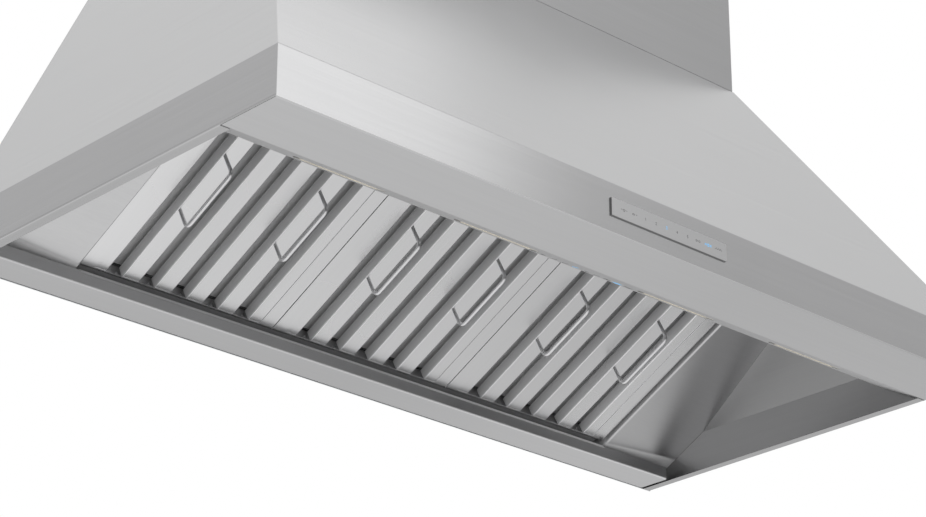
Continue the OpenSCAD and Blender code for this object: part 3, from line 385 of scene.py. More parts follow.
@dataclass(frozen=True)
class MetalFinish:
    """A bare or coated metal, or a moulded plastic, with its own grain.

    Args:
        name: The material's name.
        colour: The base colour, as linear red, green and blue.
        roughness: The mean roughness.
        grain: The direction of the grain.
        contrast: How far the grain changes the colour.
        depth: How far the grain changes the surface, as a share of a full brushing.
        variation: How far the slow variation changes the colour.
        variation_size: The scale of the slow variation.
        haze: How much rougher the hazy places are.
        speckle: How far the speckle changes the colour.
        speckle_size: The speckle's scale.
        metal: How metallic the surface is.
        turned: The turn of the grain about X, in degrees.
        bump: The strength of the surface's relief.
        relief: The height of that relief.
        sides: How the finish changes on the faces that look a given way, or at given places: painted light and
            shade in the colour, and changes of roughness and metallic share.
    """

    name: str
    colour: Triple
    roughness: float
    grain: Grain = Grain.WIDTH
    contrast: float = 0.12
    depth: float = 1.0
    variation: float = 0.05
    variation_size: float = 5.0
    haze: float = 0.03
    speckle: float = 0.0
    speckle_size: float = 90.0
    metal: Metal = Metal.BARE
    turned: float = 0.0
    bump: float = 0.35
    relief: float = 0.01 * MM
    sides: tuple[Facing, ...] = ()

    def build(self, groups: SurfaceGroups) -> bpy.types.Material:
        """Builds the material.

        Args:
            groups: The shared node groups.

        Returns:
            The new material.
        """
        material, shelf, shader = open_material(self.name)
        surface = shelf.node("ShaderNodeTexCoord")
        place = surface.outputs["Object"]
        turn = {"Vector": place, "Rotation": (math.radians(self.turned), 0.0, 0.0)}
        turned = shelf.node("ShaderNodeMapping", turn).outputs["Vector"]
        stretch = {"Vector": turned, "Scale": self.grain.value}
        grain = shelf.node("ShaderNodeMapping", stretch).outputs["Vector"]
        brushed = shelf.group(groups.brushed, {"Vector": grain, "Contrast": self.contrast,
                                               "Depth": self.depth})
        smudges = shelf.group(groups.smudges, {"Vector": place, "Size": self.variation_size,
                                               "Strength": self.variation})
        shade = shelf.math("MULTIPLY", brushed.outputs["Shade"], smudges.outputs["Shade"])
        if self.speckle:
            dust = shelf.group(groups.dust, {"Vector": place, "Size": self.speckle_size,
                                             "Strength": self.speckle})
            shade = shelf.math("MULTIPLY", shade, dust.outputs["Shade"])
        rough = shelf.math("ADD", shelf.math("MULTIPLY", smudges.outputs["Haze"], self.haze), self.roughness)
        metallic = self.metal.value
        # The face rules paint light and shade into the colour here, and change the roughness and the metallic
        # share.
        for side in self.sides:
            mask = side.mask(shelf, groups, surface)
            if side.shade != 1.0:
                shade = shelf.math("MULTIPLY", shade, shelf.ramp(mask, (0.0, 1.0), (1.0, side.shade)))
            if side.roughness:
                rough = shelf.math("ADD", rough, shelf.math("MULTIPLY", mask, side.roughness))
            if side.metallic != 1.0:
                share = shelf.ramp(mask, (0.0, 1.0), (1.0, side.metallic))
                metallic = shelf.math("MULTIPLY", share, metallic)
        relief = {"Height": brushed.outputs["Height"], "Strength": self.bump, "Distance": self.relief}
        normal = shelf.node("ShaderNodeBump", relief).outputs["Normal"]
        shelf.feed(shader, {"Base Color": shelf.scaled(self.colour, shade), "Roughness": rough,
                            "Metallic": metallic, "Normal": normal})
        return material


@dataclass(frozen=True)
class LampFinish:
    """The frosted lens of a lit lamp.

    Args:
        name: The material's name.
        colour: The lens's own colour.
        glow: The colour of its light.
        strength: The strength of its light.
        roughness: The roughness of the frosting.
        patch_size: The scale of its brighter and darker patches.
        patchiness: How far the patches change the light.
    """

    name: str
    colour: Triple
    glow: Triple
    strength: float = 0.9
    roughness: float = 0.45
    patch_size: float = 60.0
    patchiness: float = 0.25

    def build(self, groups: SurfaceGroups) -> bpy.types.Material:
        """Builds the material.

        Args:
            groups: The shared node groups.

        Returns:
            The new material.
        """
        material, shelf, shader = open_material(self.name)
        place = shelf.node("ShaderNodeTexCoord").outputs["Object"]
        smudges = shelf.group(groups.smudges, {"Vector": place, "Size": self.patch_size,
                                               "Strength": self.patchiness})
        glow = shelf.scaled(self.glow, smudges.outputs["Shade"])
        shelf.feed(shader, {"Base Color": (*self.colour, 1.0), "Roughness": self.roughness,
                            "Emission Strength": self.strength, "Emission Color": glow})
        return material


# The unit directions that the face rules compare with.
LEFT = (-1.0, 0.0, 0.0)
RIGHT = (1.0, 0.0, 0.0)
REAR = (0.0, 1.0, 0.0)
DOWN = (0.0, 0.0, -1.0)
FRONT_SLOPE = (0.0, -0.8436, 0.5368)
STRIP_FACE = (0.0, 0.469, -0.883)
STRIP_EDGE = (0.0, -0.883, -0.469)
INTO_FILTER = (0.0, 0.454, 0.891)
BAFFLE_FOLD = (-0.7071, -0.3210, -0.6300)
LIP_LEAN = (0.0, -0.74, 0.673)
FRONT_FOLD = (0.0, -0.7071, -0.7071)
REAR_FOLD = (0.0, 0.707, -0.707)

# The cosines at which a rule on faces starts and is complete: the inner faces and the plate's edges, where
# shade is painted.
INNER_FACE = (0.2, 0.4)
PLATE_EDGE = (0.5, 0.8)

# The distances along a direction at which a rule on places starts and is complete: the ends and the part behind
# the lip, where light is painted, and the depth of the slots, where shade is painted.
PAN_RIGHT_HALF = (0.15, 0.55)
TROUGH_RIGHT_HALF = (0.0, 0.45)
FILTERS_LEFT_END = (0.34, 0.45)
FILTERS_RIGHT_END = (0.32, 0.42)
BAFFLE_DEPTH = (4.4 * MM, 20.5 * MM)
BEHIND_LIP = (-56.0 * MM, -53.0 * MM)


class Finish(Enum):
    """Every finish on the hood."""

    # Painted shade: the front slope's colour is darkened.
    CANOPY = MetalFinish("canopy steel", (0.60, 0.60, 0.605), 0.20,
                         sides=(Facing(FRONT_SLOPE, (0.93, 0.98), shade=0.94),))
    # Lit and shaded copies of one steel: the left side is painted darker than the right side. Both have painted
    # shade on their inner faces, which are also a little rougher, and on their lower returns.
    CANOPY_LEFT = MetalFinish("left side steel", (0.57, 0.57, 0.575), 0.20, Grain.DEPTH,
                              sides=(Facing(RIGHT, INNER_FACE, shade=0.62, roughness=0.08),
                                     Facing(DOWN, (0.9, 0.98), shade=0.86)))
    # Painted shade on the right side's inner faces, which are also a little rougher, and a lighter painted
    # shade on its lower return.
    CANOPY_RIGHT = MetalFinish("right side steel", (0.60, 0.60, 0.605), 0.20, Grain.DEPTH,
                               sides=(Facing(LEFT, INNER_FACE, shade=0.62, roughness=0.08),
                                      Facing(DOWN, (0.9, 0.98), shade=0.94)))
    CHIMNEY = MetalFinish("chimney steel", (0.54, 0.54, 0.545), 0.32)
    # Painted shade on the lamp strip, which is also rougher and less metallic, and painted light towards the
    # pan's right end.
    PAN = MetalFinish("light pan steel", (0.60, 0.60, 0.605), 0.30,
                      sides=(Facing(STRIP_FACE, (0.96, 0.99), shade=0.92, roughness=0.3, metallic=0.4),
                             Facing(RIGHT, PAN_RIGHT_HALF, shade=1.12, reads=Reads.PLACE)))
    # Painted highlight on the folds at the baffles' left edges, which are also a little rougher and less
    # metallic; painted light on the slot walls that face left, which are also duller; painted shade deeper into
    # the slots; painted light at the left and right ends of the filters.
    BAFFLE = MetalFinish("baffle steel", (0.66, 0.66, 0.665), 0.26, Grain.DEPTH, contrast=0.08,
                         depth=0.6, turned=FILTER_TILT,
                         sides=(Facing(BAFFLE_FOLD, (0.86, 0.93), shade=1.25, roughness=0.12, metallic=0.7),
                                Facing(LEFT, (0.85, 0.95), shade=1.32, roughness=0.3, metallic=0.2),
                                Facing(INTO_FILTER, BAFFLE_DEPTH, shade=0.74, reads=Reads.PLACE),
                                Facing(LEFT, FILTERS_LEFT_END, shade=1.12, reads=Reads.PLACE),
                                Facing(RIGHT, FILTERS_RIGHT_END, shade=1.13, reads=Reads.PLACE)))
    # Painted light: the rear baffles are a lighter copy of the baffles' steel, so that the slots read lighter
    # deep inside; they are also duller.
    BAFFLE_REAR = MetalFinish("rear baffle steel", (0.74, 0.74, 0.745), 0.5, Grain.DEPTH, contrast=0.08,
                              metal=Metal.DULL, turned=FILTER_TILT,
                              sides=(Facing(DOWN, (0.5, 0.8), metallic=0.4),))
    # Painted light: the ledge has a lighter, duller sheet than the zinc inner parts, so that the gap behind the
    # filters' rear ends reads lighter.
    LEDGE = MetalFinish("ledge steel", (0.6, 0.6, 0.605), 0.5, contrast=0.08, metal=Metal.DULL)
    # Painted shade on the upturned edges that face left, which are also rougher and duller; painted light on
    # the liner behind the lip, which is also nearly matt and rougher.
    LINER = MetalFinish("liner steel", (0.60, 0.60, 0.605), 0.30, contrast=0.14,
                        sides=(Facing(LEFT, (0.85, 0.95), shade=0.85, roughness=0.3, metallic=0.2),
                               Facing(REAR, BEHIND_LIP, shade=1.35, roughness=0.4, metallic=0.05,
                                      reads=Reads.PLACE)))
    # Painted highlights on the leaning lip, which is also matt and rougher, and on the front fold; painted
    # light on the rear fold beside the seam and on the right half.
    TROUGH = MetalFinish("trough steel", (0.59, 0.59, 0.595), 0.32,
                         sides=(Facing(LIP_LEAN, (0.9, 0.97), shade=1.35, roughness=0.3, metallic=0.0),
                                Facing(FRONT_FOLD, (0.86, 0.97), shade=1.3, roughness=0.15, metallic=0.4),
                                Facing(REAR_FOLD, (0.75, 0.92), shade=1.55, roughness=0.4, metallic=0.2),
                                Facing(RIGHT, TROUGH_RIGHT_HALF, shade=1.22, reads=Reads.PLACE)))
    WIRE = MetalFinish("handle wire", (0.8, 0.8, 0.81), 0.28, Grain.EVEN, contrast=0.03, depth=0.2,
                       sides=(Facing(DOWN, (-1.0, 1.0), metallic=0.75),))
    # Painted shade on the plate's left and lower edges.
    PLATE = MetalFinish("control plate", (0.64, 0.64, 0.645), 0.40, contrast=0.06, depth=0.4,
                        sides=(Facing(LEFT, PLATE_EDGE, shade=0.4), Facing(DOWN, PLATE_EDGE, shade=0.5)))
    # The bezel's warm colour is painted lamp light, and its front rim has a painted highlight; the rim is also
    # rougher and nearly matt.
    BEZEL = MetalFinish("lamp bezel", (0.43, 0.42, 0.395), 0.3, contrast=0.06,
                        sides=(Facing(STRIP_EDGE, (0.75, 0.95), shade=1.9, roughness=0.25, metallic=0.1),))
    ZINC = MetalFinish("zinc sheet", (0.46, 0.47, 0.48), 0.38, Grain.EVEN, contrast=0.05, speckle=0.16,
                       speckle_size=55.0, depth=0.3)
    # Painted light: a copy of the zinc sheet whose lower edge is painted lighter, and is also rougher and
    # duller.
    BACK = replace(ZINC, name="back sheet",
                   sides=(Facing(DOWN, (0.8, 0.95), shade=1.6, roughness=0.3, metallic=0.4),))
    SHAFT = MetalFinish("turned steel", (0.6, 0.6, 0.6), 0.22, Grain.HEIGHT, contrast=0.1)
    WHEEL = MetalFinish("wheel steel", (0.5, 0.51, 0.52), 0.33, Grain.EVEN, contrast=0.06, speckle=0.1)
    FASTENER = MetalFinish("plated fastener", (0.6, 0.6, 0.6), 0.25, Grain.EVEN, contrast=0.04)
    MOTOR = MetalFinish("motor paint", (0.025, 0.025, 0.027), 0.42, Grain.EVEN, contrast=0.2,
                        speckle=0.3, speckle_size=700.0, metal=Metal.COATED)
    PLASTIC = MetalFinish("moulded plastic", (0.02, 0.02, 0.022), 0.5, Grain.EVEN, contrast=0.2,
                          speckle=0.3, speckle_size=900.0, metal=Metal.COATED)
    BOARD = MetalFinish("circuit board", (0.012, 0.09, 0.035), 0.35, Grain.EVEN, contrast=0.3,
                        speckle=0.4, speckle_size=260.0, metal=Metal.COATED)
    CAN = MetalFinish("capacitor can", (0.55, 0.55, 0.56), 0.3, Grain.HEIGHT, contrast=0.1)
    MARK = MetalFinish("printed mark", (0.13, 0.13, 0.135), 0.5, Grain.EVEN, contrast=0.1,
                       metal=Metal.COATED)
    MARK_LIT = LampFinish("lit mark", (0.08, 0.4, 0.72), (0.08, 0.42, 0.8))
    LENS = LampFinish("lamp lens", (0.86, 0.82, 0.72), (1.0, 0.86, 0.62))


@dataclass
class Paintbox:
    """Builds each finish once and hands it out.

    Args:
        groups: The shared node groups.
        made: The materials that were made so far.
    """

    groups: SurfaceGroups
    made: dict[Finish, bpy.types.Material] = field(default_factory=dict)

    def get(self, finish: Finish) -> bpy.types.Material:
        """Gives a finish's material.

        Args:
            finish: The finish.

        Returns:
            Its material.
        """
        if finish not in self.made:
            self.made[finish] = finish.value.build(self.groups)
        return self.made[finish]


class MeshRecipe:
    """A Geometry Nodes tree that turns a guide mesh into a plain mesh of one finish."""

    def __init__(self, name: str, sizes: dict[str, str]) -> None:
        """Builds the tree round the shape that grow() gives.

        Args:
            name: The tree's name.
            sizes: The socket type of each named size that the tree takes.
        """
        inputs = {"Guide": GEOMETRY, **sizes, "Finish": "NodeSocketMaterial"}
        self.shelf, given, result = open_group(name, "GeometryNodeTree", inputs, {"Made": GEOMETRY})
        self.given = given.outputs
        plain = self.shelf.node("GeometryNodeRealizeInstances", {"Geometry": self.grow()})
        coat = self.shelf.node("GeometryNodeSetMaterial",
                               {"Geometry": plain.outputs["Geometry"], "Material": self.given["Finish"]})
        self.shelf.feed(result, {"Made": coat.outputs["Geometry"]})

    def grow(self) -> Socket:
        """Adds the nodes that make the shape, and gives their output."""
        raise NotImplementedError

    def curve(self) -> Socket:
        """Turns the guide's lines into curves, and gives them."""
        return self.shelf.node("GeometryNodeMeshToCurve", {"Mesh": self.given["Guide"]}).outputs["Curve"]

    def make(self, name: str, paths: Paths, material: bpy.types.Material, sizes: dict[str, object]) \
            -> bpy.types.Mesh:
        """Runs the tree on a guide.

        Args:
            name: The name of the piece that it is for.
            paths: The points of each line that the shape follows.
            material: Its material.
            sizes: The value of each named size.

        Returns:
            The finished plain mesh.
        """
        holder = place_object(name, guide_of(name, paths))
        modifier = holder.modifiers.new(name, "NODES")
        modifier.node_group = self.shelf.tree
        values = {**sizes, "Finish": material}
        for item in self.shelf.tree.interface.items_tree:
            if item.item_type == "SOCKET" and item.in_out == "INPUT" and item.name in values:
                modifier[item.identifier] = values[item.name]
        graph = bpy.context.evaluated_depsgraph_get()
        mesh = bpy.data.meshes.new_from_object(holder.evaluated_get(graph), depsgraph=graph)
        mesh.name = name
        holder.modifiers.remove(modifier)
        bpy.data.objects.remove(holder)
        return mesh


class WireRecipe(MeshRecipe):
    """Round wire bent along the guide's lines."""

    def __init__(self) -> None:
        """Builds the tree with the wire's sizes."""
        super().__init__("bent wire", {"Wire radius": FLOAT, "Bend radius": FLOAT, "Bend steps": INTEGER,
                                       "Sides": INTEGER})

    def grow(self) -> Socket:
        """Adds the fillets and the sweep.

        Returns:
            The wire.
        """
        bend = self.shelf.node("GeometryNodeFilletCurve",
                               {"Curve": self.curve(), "Radius": self.given["Bend radius"],
                                "Count": self.given["Bend steps"], "Limit Radius": True}, mode="POLY")
        section = self.shelf.node("GeometryNodeCurvePrimitiveCircle",
                                  {"Resolution": self.given["Sides"], "Radius": self.given["Wire radius"]},
                                  mode="RADIUS")
        sweep = self.shelf.node("GeometryNodeCurveToMesh",
                                {"Curve": bend.outputs["Curve"], "Profile Curve": section.outputs["Curve"],
                                 "Fill Caps": True})
        return sweep.outputs["Mesh"]


class HeadRecipe(MeshRecipe):
    """Fastener heads at a pitch along the guide's lines."""

    def __init__(self, name: str) -> None:
        """Builds the tree with the head's sizes."""
        super().__init__(name, {"Pitch": FLOAT, "Head radius": FLOAT, "Head height": FLOAT, "Turn": VECTOR})

    def head(self) -> Socket:
        """Adds the nodes that make one head on the plane z = 0, and gives it."""
        raise NotImplementedError

    def grow(self) -> Socket:
        """Puts a head at each step.

        Returns:
            The instances.
        """
        steps = self.shelf.node("GeometryNodeCurveToPoints",
                                {"Curve": self.curve(), "Length": self.given["Pitch"]}, mode="LENGTH")
        copies = self.shelf.node("GeometryNodeInstanceOnPoints",
                                 {"Points": steps.outputs["Points"], "Instance": self.head(),
                                  "Rotation": self.given["Turn"]})
        return copies.outputs["Instances"]

    def size(self, name: str, share: float) -> Socket:
        """Gives a share of one of the head's sizes."""
        return self.shelf.math("MULTIPLY", self.given[name], share)


class RivetRecipe(HeadRecipe):
    """Low domed rivets."""

    segments = 14
    rings = 8

    def head(self) -> Socket:
        """Adds a flattened dome.

        Returns:
            The dome.
        """
        dome = self.shelf.node("GeometryNodeMeshUVSphere",
                               {"Segments": self.segments, "Rings": self.rings,
                                "Radius": self.given["Head radius"]})
        ratio = self.shelf.math("DIVIDE", self.given["Head height"], self.given["Head radius"])
        flat = self.shelf.node("ShaderNodeCombineXYZ", {"X": 1.0, "Y": 1.0, "Z": ratio})
        pressed = self.shelf.node("GeometryNodeTransform",
                                  {"Geometry": dome.outputs["Mesh"], "Scale": flat.outputs[0]})
        smooth = self.shelf.node("GeometryNodeSetShadeSmooth", {"Geometry": pressed.outputs["Geometry"]})
        return smooth.outputs["Geometry"]


@dataclass(frozen=True)
class Drum:
    """One round or many-sided step of a screw's head, with its sizes as shares of the head's.

    Args:
        sides: The number of its sides.
        width: Its radius.
        height: Its height.
        lift: The height of its middle.
    """

    sides: int
    width: float
    height: float
    lift: float


class ScrewRecipe(HeadRecipe):
    """Hexagon head screws with a flanged washer."""

    washer = Drum(24, 1.45, 0.24, 0.12)
    hexagon = Drum(6, 1.0, 0.7, 0.59)
    crown = Drum(18, 0.62, 0.1, 0.97)

    def head(self) -> Socket:
        """Adds the washer, the hexagon and its crown.

        Returns:
            The joined head.
        """
        joined = self.shelf.node("GeometryNodeJoinGeometry")
        for form in (self.washer, self.hexagon, self.crown):
            self.shelf.feed(joined, {"Geometry": self.drum(form)})
        return joined.outputs["Geometry"]

    def drum(self, form: Drum) -> Socket:
        """Adds one step of the head.

        Args:
            form: The step's shares of the head's sizes.

        Returns:
            The step.
        """
        body = self.shelf.node("GeometryNodeMeshCylinder",
                               {"Vertices": form.sides, "Radius": self.size("Head radius", form.width),
                                "Depth": self.size("Head height", form.height)})
        raised = self.shelf.node("ShaderNodeCombineXYZ", {"Z": self.size("Head height", form.lift)})
        moved = self.shelf.node("GeometryNodeTransform",
                                {"Geometry": body.outputs["Mesh"], "Translation": raised.outputs[0]})
        return moved.outputs["Geometry"]


@dataclass(frozen=True)
class Recipes:
    """The recipes that the sub-assemblies share.

    Args:
        wire: Bent wire.
        rivets: Rows of rivets.
        screws: Rows of screws.
    """

    wire: WireRecipe
    rivets: RivetRecipe
    screws: ScrewRecipe

    @classmethod
    def build(cls) -> "Recipes":
        """Builds each tree once, and gives them."""
        return cls(WireRecipe(), RivetRecipe("rivet row"), ScrewRecipe("screw row"))


def guide_of(name: str, paths: Paths) -> bpy.types.Mesh:
    """Draws open paths as a mesh of edges.

    Args:
        name: The mesh's name.
        paths: The points of each path, in order.

    Returns:
        The guide mesh.
    """
    points = [point for path in paths for point in path]
    edges = []
    start = 0
    for path in paths:
        edges += [(start + i, start + i + 1) for i in range(len(path) - 1)]
        start += len(path)
    mesh = bpy.data.meshes.new(name)
    mesh.from_pydata(points, edges, [])
    return mesh


def mesh_from(name: str, form: bmesh.types.BMesh) -> bpy.types.Mesh:
    """Turns a finished bmesh into a mesh, and frees it.

    Args:
        name: The mesh's name.
        form: The bmesh.

    Returns:
        The mesh.
    """
    mesh = bpy.data.meshes.new(name)
    form.to_mesh(mesh)
    form.free()
    return mesh


def arc(middle: Pair, radius: float, start: float = 0.0, turn: float = 360.0, steps: int = 14) \
        -> list[Pair]:
    """Gives the points of an arc on a plane.

    Args:
        middle: The arc's centre.
        radius: Its radius.
        start: The angle of its first point, in degrees.
        turn: How far it turns, in degrees.
        steps: The number of steps from its first point to its last.

    Returns:
        Its points.
    """
    angles = [math.radians(start + turn * k / steps) for k in range(steps + 1)]
    return [(middle[0] + radius * math.cos(a), middle[1] + radius * math.sin(a)) for a in angles]


@dataclass
class Workshop:
    """What every sub-assembly needs: the frame, the finishes and the mesh recipes.

    Args:
        paints: The finishes.
        recipes: The Geometry Nodes trees.
        bend_steps: The number of steps in a wire's bend.
    """

    frame: dict
    paints: Paintbox
    recipes: Recipes
    bend_steps: int = 8

    def coat(self, mesh: bpy.types.Mesh, finish: Finish) -> None:
        """Gives a mesh its one finish."""
        mesh.materials.clear()
        mesh.materials.append(self.paints.get(finish))

    def dress(self, finish: Finish, *nodes: str) -> None:
        """Gives nodes of the part their finish.

        Args:
            finish: The finish.
            *nodes: The nodes' names.
        """
        for node in nodes:
            self.coat(self.frame["nodes"][node].data, finish)
            LOG.info("%s: %s", node, finish.value.name)

    def add(self, name: str, mesh: bpy.types.Mesh, finish: Finish, body: str = ROOT) -> bpy.types.Object:
        """Adds a piece that rides on a body.

        Args:
            name: The piece's name.
            mesh: Its mesh, already in place.
            finish: Its finish.
            body: The body that it rides on.

        Returns:
            The new piece.
        """
        self.coat(mesh, finish)
        piece = place_object(name, mesh)
        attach(piece, body)
        LOG.info("%s: %d faces on %s", name, len(mesh.polygons), body)
        return piece

    def wire(self, name: str, paths: Paths, finish: Finish, radius: float, bend: float, sides: int,
             body: str = ROOT) -> bpy.types.Object:
        """Adds round wire that follows paths.

        Args:
            name: The piece's name.
            paths: The corners of each path.
            finish: Its finish.
            radius: The wire's radius.
            bend: The radius of its bends.
            sides: The number of sides of its section.
            body: The body that it rides on.

        Returns:
            The new piece.
        """
        sizes = {"Wire radius": radius, "Bend radius": bend, "Bend steps": self.bend_steps, "Sides": sides}
        mesh = self.recipes.wire.make(name, paths, self.paints.get(finish), sizes)
        mesh.shade_smooth()
        return self.add(name, mesh, finish, body)

    def heads(self, name: str, recipe: HeadRecipe, paths: Paths, pitch: float, radius: float, height: float,
              turn: Triple = (0.0, 0.0, 0.0)) -> None:
        """Adds a row of fastener heads along paths.

        Args:
            name: The piece's name.
            recipe: The kind of head.
            paths: The lines that the heads stand on.
            pitch: The distance from one head to the next.
            radius: A head's radius.
            height: A head's height.
            turn: The turn from +Z to the direction that the heads face.
        """
        sizes = {"Pitch": pitch, "Head radius": radius, "Head height": height, "Turn": turn}
        mesh = recipe.make(name, paths, self.paints.get(Finish.FASTENER), sizes)
        self.add(name, mesh, Finish.FASTENER)


@dataclass
class Assembly:
    """A sub-assembly of the hood.

    Args:
        shop: The frame, the finishes and the recipes.
    """

    wears: ClassVar[dict[Finish, tuple[str, ...]]] = {}
    shop: Workshop

    def build(self) -> None:
        """Dresses the sub-assembly's nodes, and adds its own pieces."""
        for finish, nodes in self.wears.items():
            self.shop.dress(finish, *nodes)
        self.add_pieces()
        LOG.info("%s done", type(self).__name__)

    def add_pieces(self) -> None:
        """Adds the pieces that the part's nodes leave to this script."""


@dataclass
class Canopy(Assembly):
    """The canopy's panels, the light pan, the trough and the liner."""

    wears = {
        Finish.CANOPY: ("canopy_front",),
        Finish.CANOPY_LEFT: ("canopy_left",),
        Finish.CANOPY_RIGHT: ("canopy_right",),
        Finish.LINER: ("liner_left", "liner_right", "liner_front"),
        Finish.PAN: ("light_pan",),
        Finish.TROUGH: ("grease_trough",),
        Finish.BACK: ("canopy_back",),
        Finish.ZINC: ("canopy_top", "filter_front_rail", "wall_rail"),
        Finish.LEDGE: ("filter_rear_ledge",),
    }


@dataclass
class Filters(Assembly):
    """The three baffle filters and their bent handles.

    Args:
        tilt: The slope of the filters, in degrees.
        rise: The height at which the plane of their faces would reach the wall.
        sheet: The thickness of the baffles' sheet.
        wire_r: The radius of the handles' wire.
        wire_sides: The number of sides of its section.
        handle_l: The distance between the two feet of a handle.
        handle_h: The distance from the filter's face to the middle of a handle's bar.
        bend: The bend radius at the middle of the wire.
    """

    places: ClassVar[tuple[str, ...]] = ("left", "middle", "right")
    tilt: float = FILTER_TILT
    rise: float = 4.0 * MM
    sheet: float = 0.8 * MM
    wire_r: float = 2.4 * MM
    wire_sides: int = 20
    handle_l: float = 96.2 * MM
    handle_h: float = 33.0 * MM
    bend: float = 9.0 * MM

    def add_pieces(self) -> None:
        """Dresses the filters and bends their handles."""
        for place in self.places:
            self.shop.dress(Finish.BAFFLE, f"filter_{place}_frame", f"filter_{place}_front_baffles")
            self.shop.dress(Finish.BAFFLE_REAR, f"filter_{place}_rear_baffles")
            self.add_handles(place)

    def slope(self) -> Pair:
        """Gives the cosine and the sine of the filters' slope."""
        return math.cos(math.radians(self.tilt)), math.sin(math.radians(self.tilt))

    def on_slope(self, x: float, along: float, above: float) -> Vector:
        """Gives a point of the filters' slope.

        Args:
            x: Its place along the width.
            along: Its distance up the slope from the wall.
            above: Its height above the filters' faces.

        Returns:
            The point in the part's frame.
        """
        run, climb = self.slope()
        return Vector((x, -along * run + above * climb, self.rise + along * climb + above * run))

    def add_handles(self, place: str) -> None:
        """Bends the two wire handles of one filter where the part has them.

        Args:
            place: Which filter.
        """
        node = f"filter_{place}_handles"
        low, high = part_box(node)
        run, climb = self.slope()
        first = self.wire_r + (self.sheet * climb - high.y) / run
        last = first + self.handle_l
        corners = ((first, self.sheet), (first, -self.handle_h), (last, -self.handle_h), (last, self.sheet))
        paths = [[self.on_slope(x, along, above) for along, above in corners]
                 for x in (low.x + self.wire_r, high.x - self.wire_r)]
        wires = self.shop.wire(f"filter_{place}_handle_wires", paths, Finish.WIRE, self.wire_r, self.bend,
                               self.wire_sides, f"filter_{place}")
        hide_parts(node)


@dataclass
class Lamps(Assembly):
    """The four lamps in the sloping strip."""

    wears = {
        Finish.BEZEL: ("lamp_bezels",),
        Finish.LENS: ("lamp_lenses",),
        Finish.BOARD: ("lamp_boards",),
    }


class Mark(Enum):
    """The strokes of each printed mark, as shares of its height, in the order of the row."""

    POWER = (arc((0.0, 0.0), 0.45, 120.0, 300.0), [(0.0, 0.5), (0.0, 0.0)], [(-1.6, 0.1), (-0.8, 0.1)],
             [(0.8, 0.1), (1.6, 0.1)])
    LAMP = (arc((-0.7, -0.2), 0.5, 0.0, 180.0), [(-1.3, -0.2), (-0.1, -0.2)], [(0.4, 0.1), (1.2, 0.1)])
    ONE = ([(-0.15, 0.3), (0.05, 0.5), (0.05, -0.5)],)
    TWO = ([(-0.28, 0.28), (-0.1, 0.5), (0.15, 0.5), (0.28, 0.25), (-0.28, -0.5), (0.3, -0.5)],)
    THREE = ([(-0.28, 0.5), (0.28, 0.5), (-0.02, 0.1), (0.28, -0.15), (0.1, -0.5), (-0.28, -0.42)],)
    FOUR = ([(0.15, -0.5), (0.15, 0.5), (-0.3, -0.15), (0.32, -0.15)],)
    FIVE = ([(0.27, 0.5), (-0.22, 0.5), (-0.26, 0.05), (0.1, 0.1), (0.28, -0.15), (0.12, -0.5),
             (-0.28, -0.42)],)
    FAN = (arc((-0.8, 0.0), 0.35), arc((0.8, 0.0), 0.35), [(-0.4, 0.0), (0.4, 0.0)])
    CLOCK = (arc((0.0, 0.0), 0.5), [(0.0, 0.35), (0.0, 0.0), (0.25, -0.1)],
             [(-1.8, 0.25), (-0.8, 0.25)], [(-1.8, -0.2), (-0.8, -0.2)],
             [(0.8, 0.25), (1.8, 0.25)], [(0.8, -0.2), (1.8, -0.2)])
    BOOST = ([(-1.7, -0.35), (-1.1, 0.35), (-0.5, -0.35)], [(-0.6, -0.35), (0.0, 0.35), (0.6, -0.35)],
             [(0.5, -0.35), (1.1, 0.35), (1.7, -0.35)])


LIT_MARKS = (Mark.THREE, Mark.CLOCK)


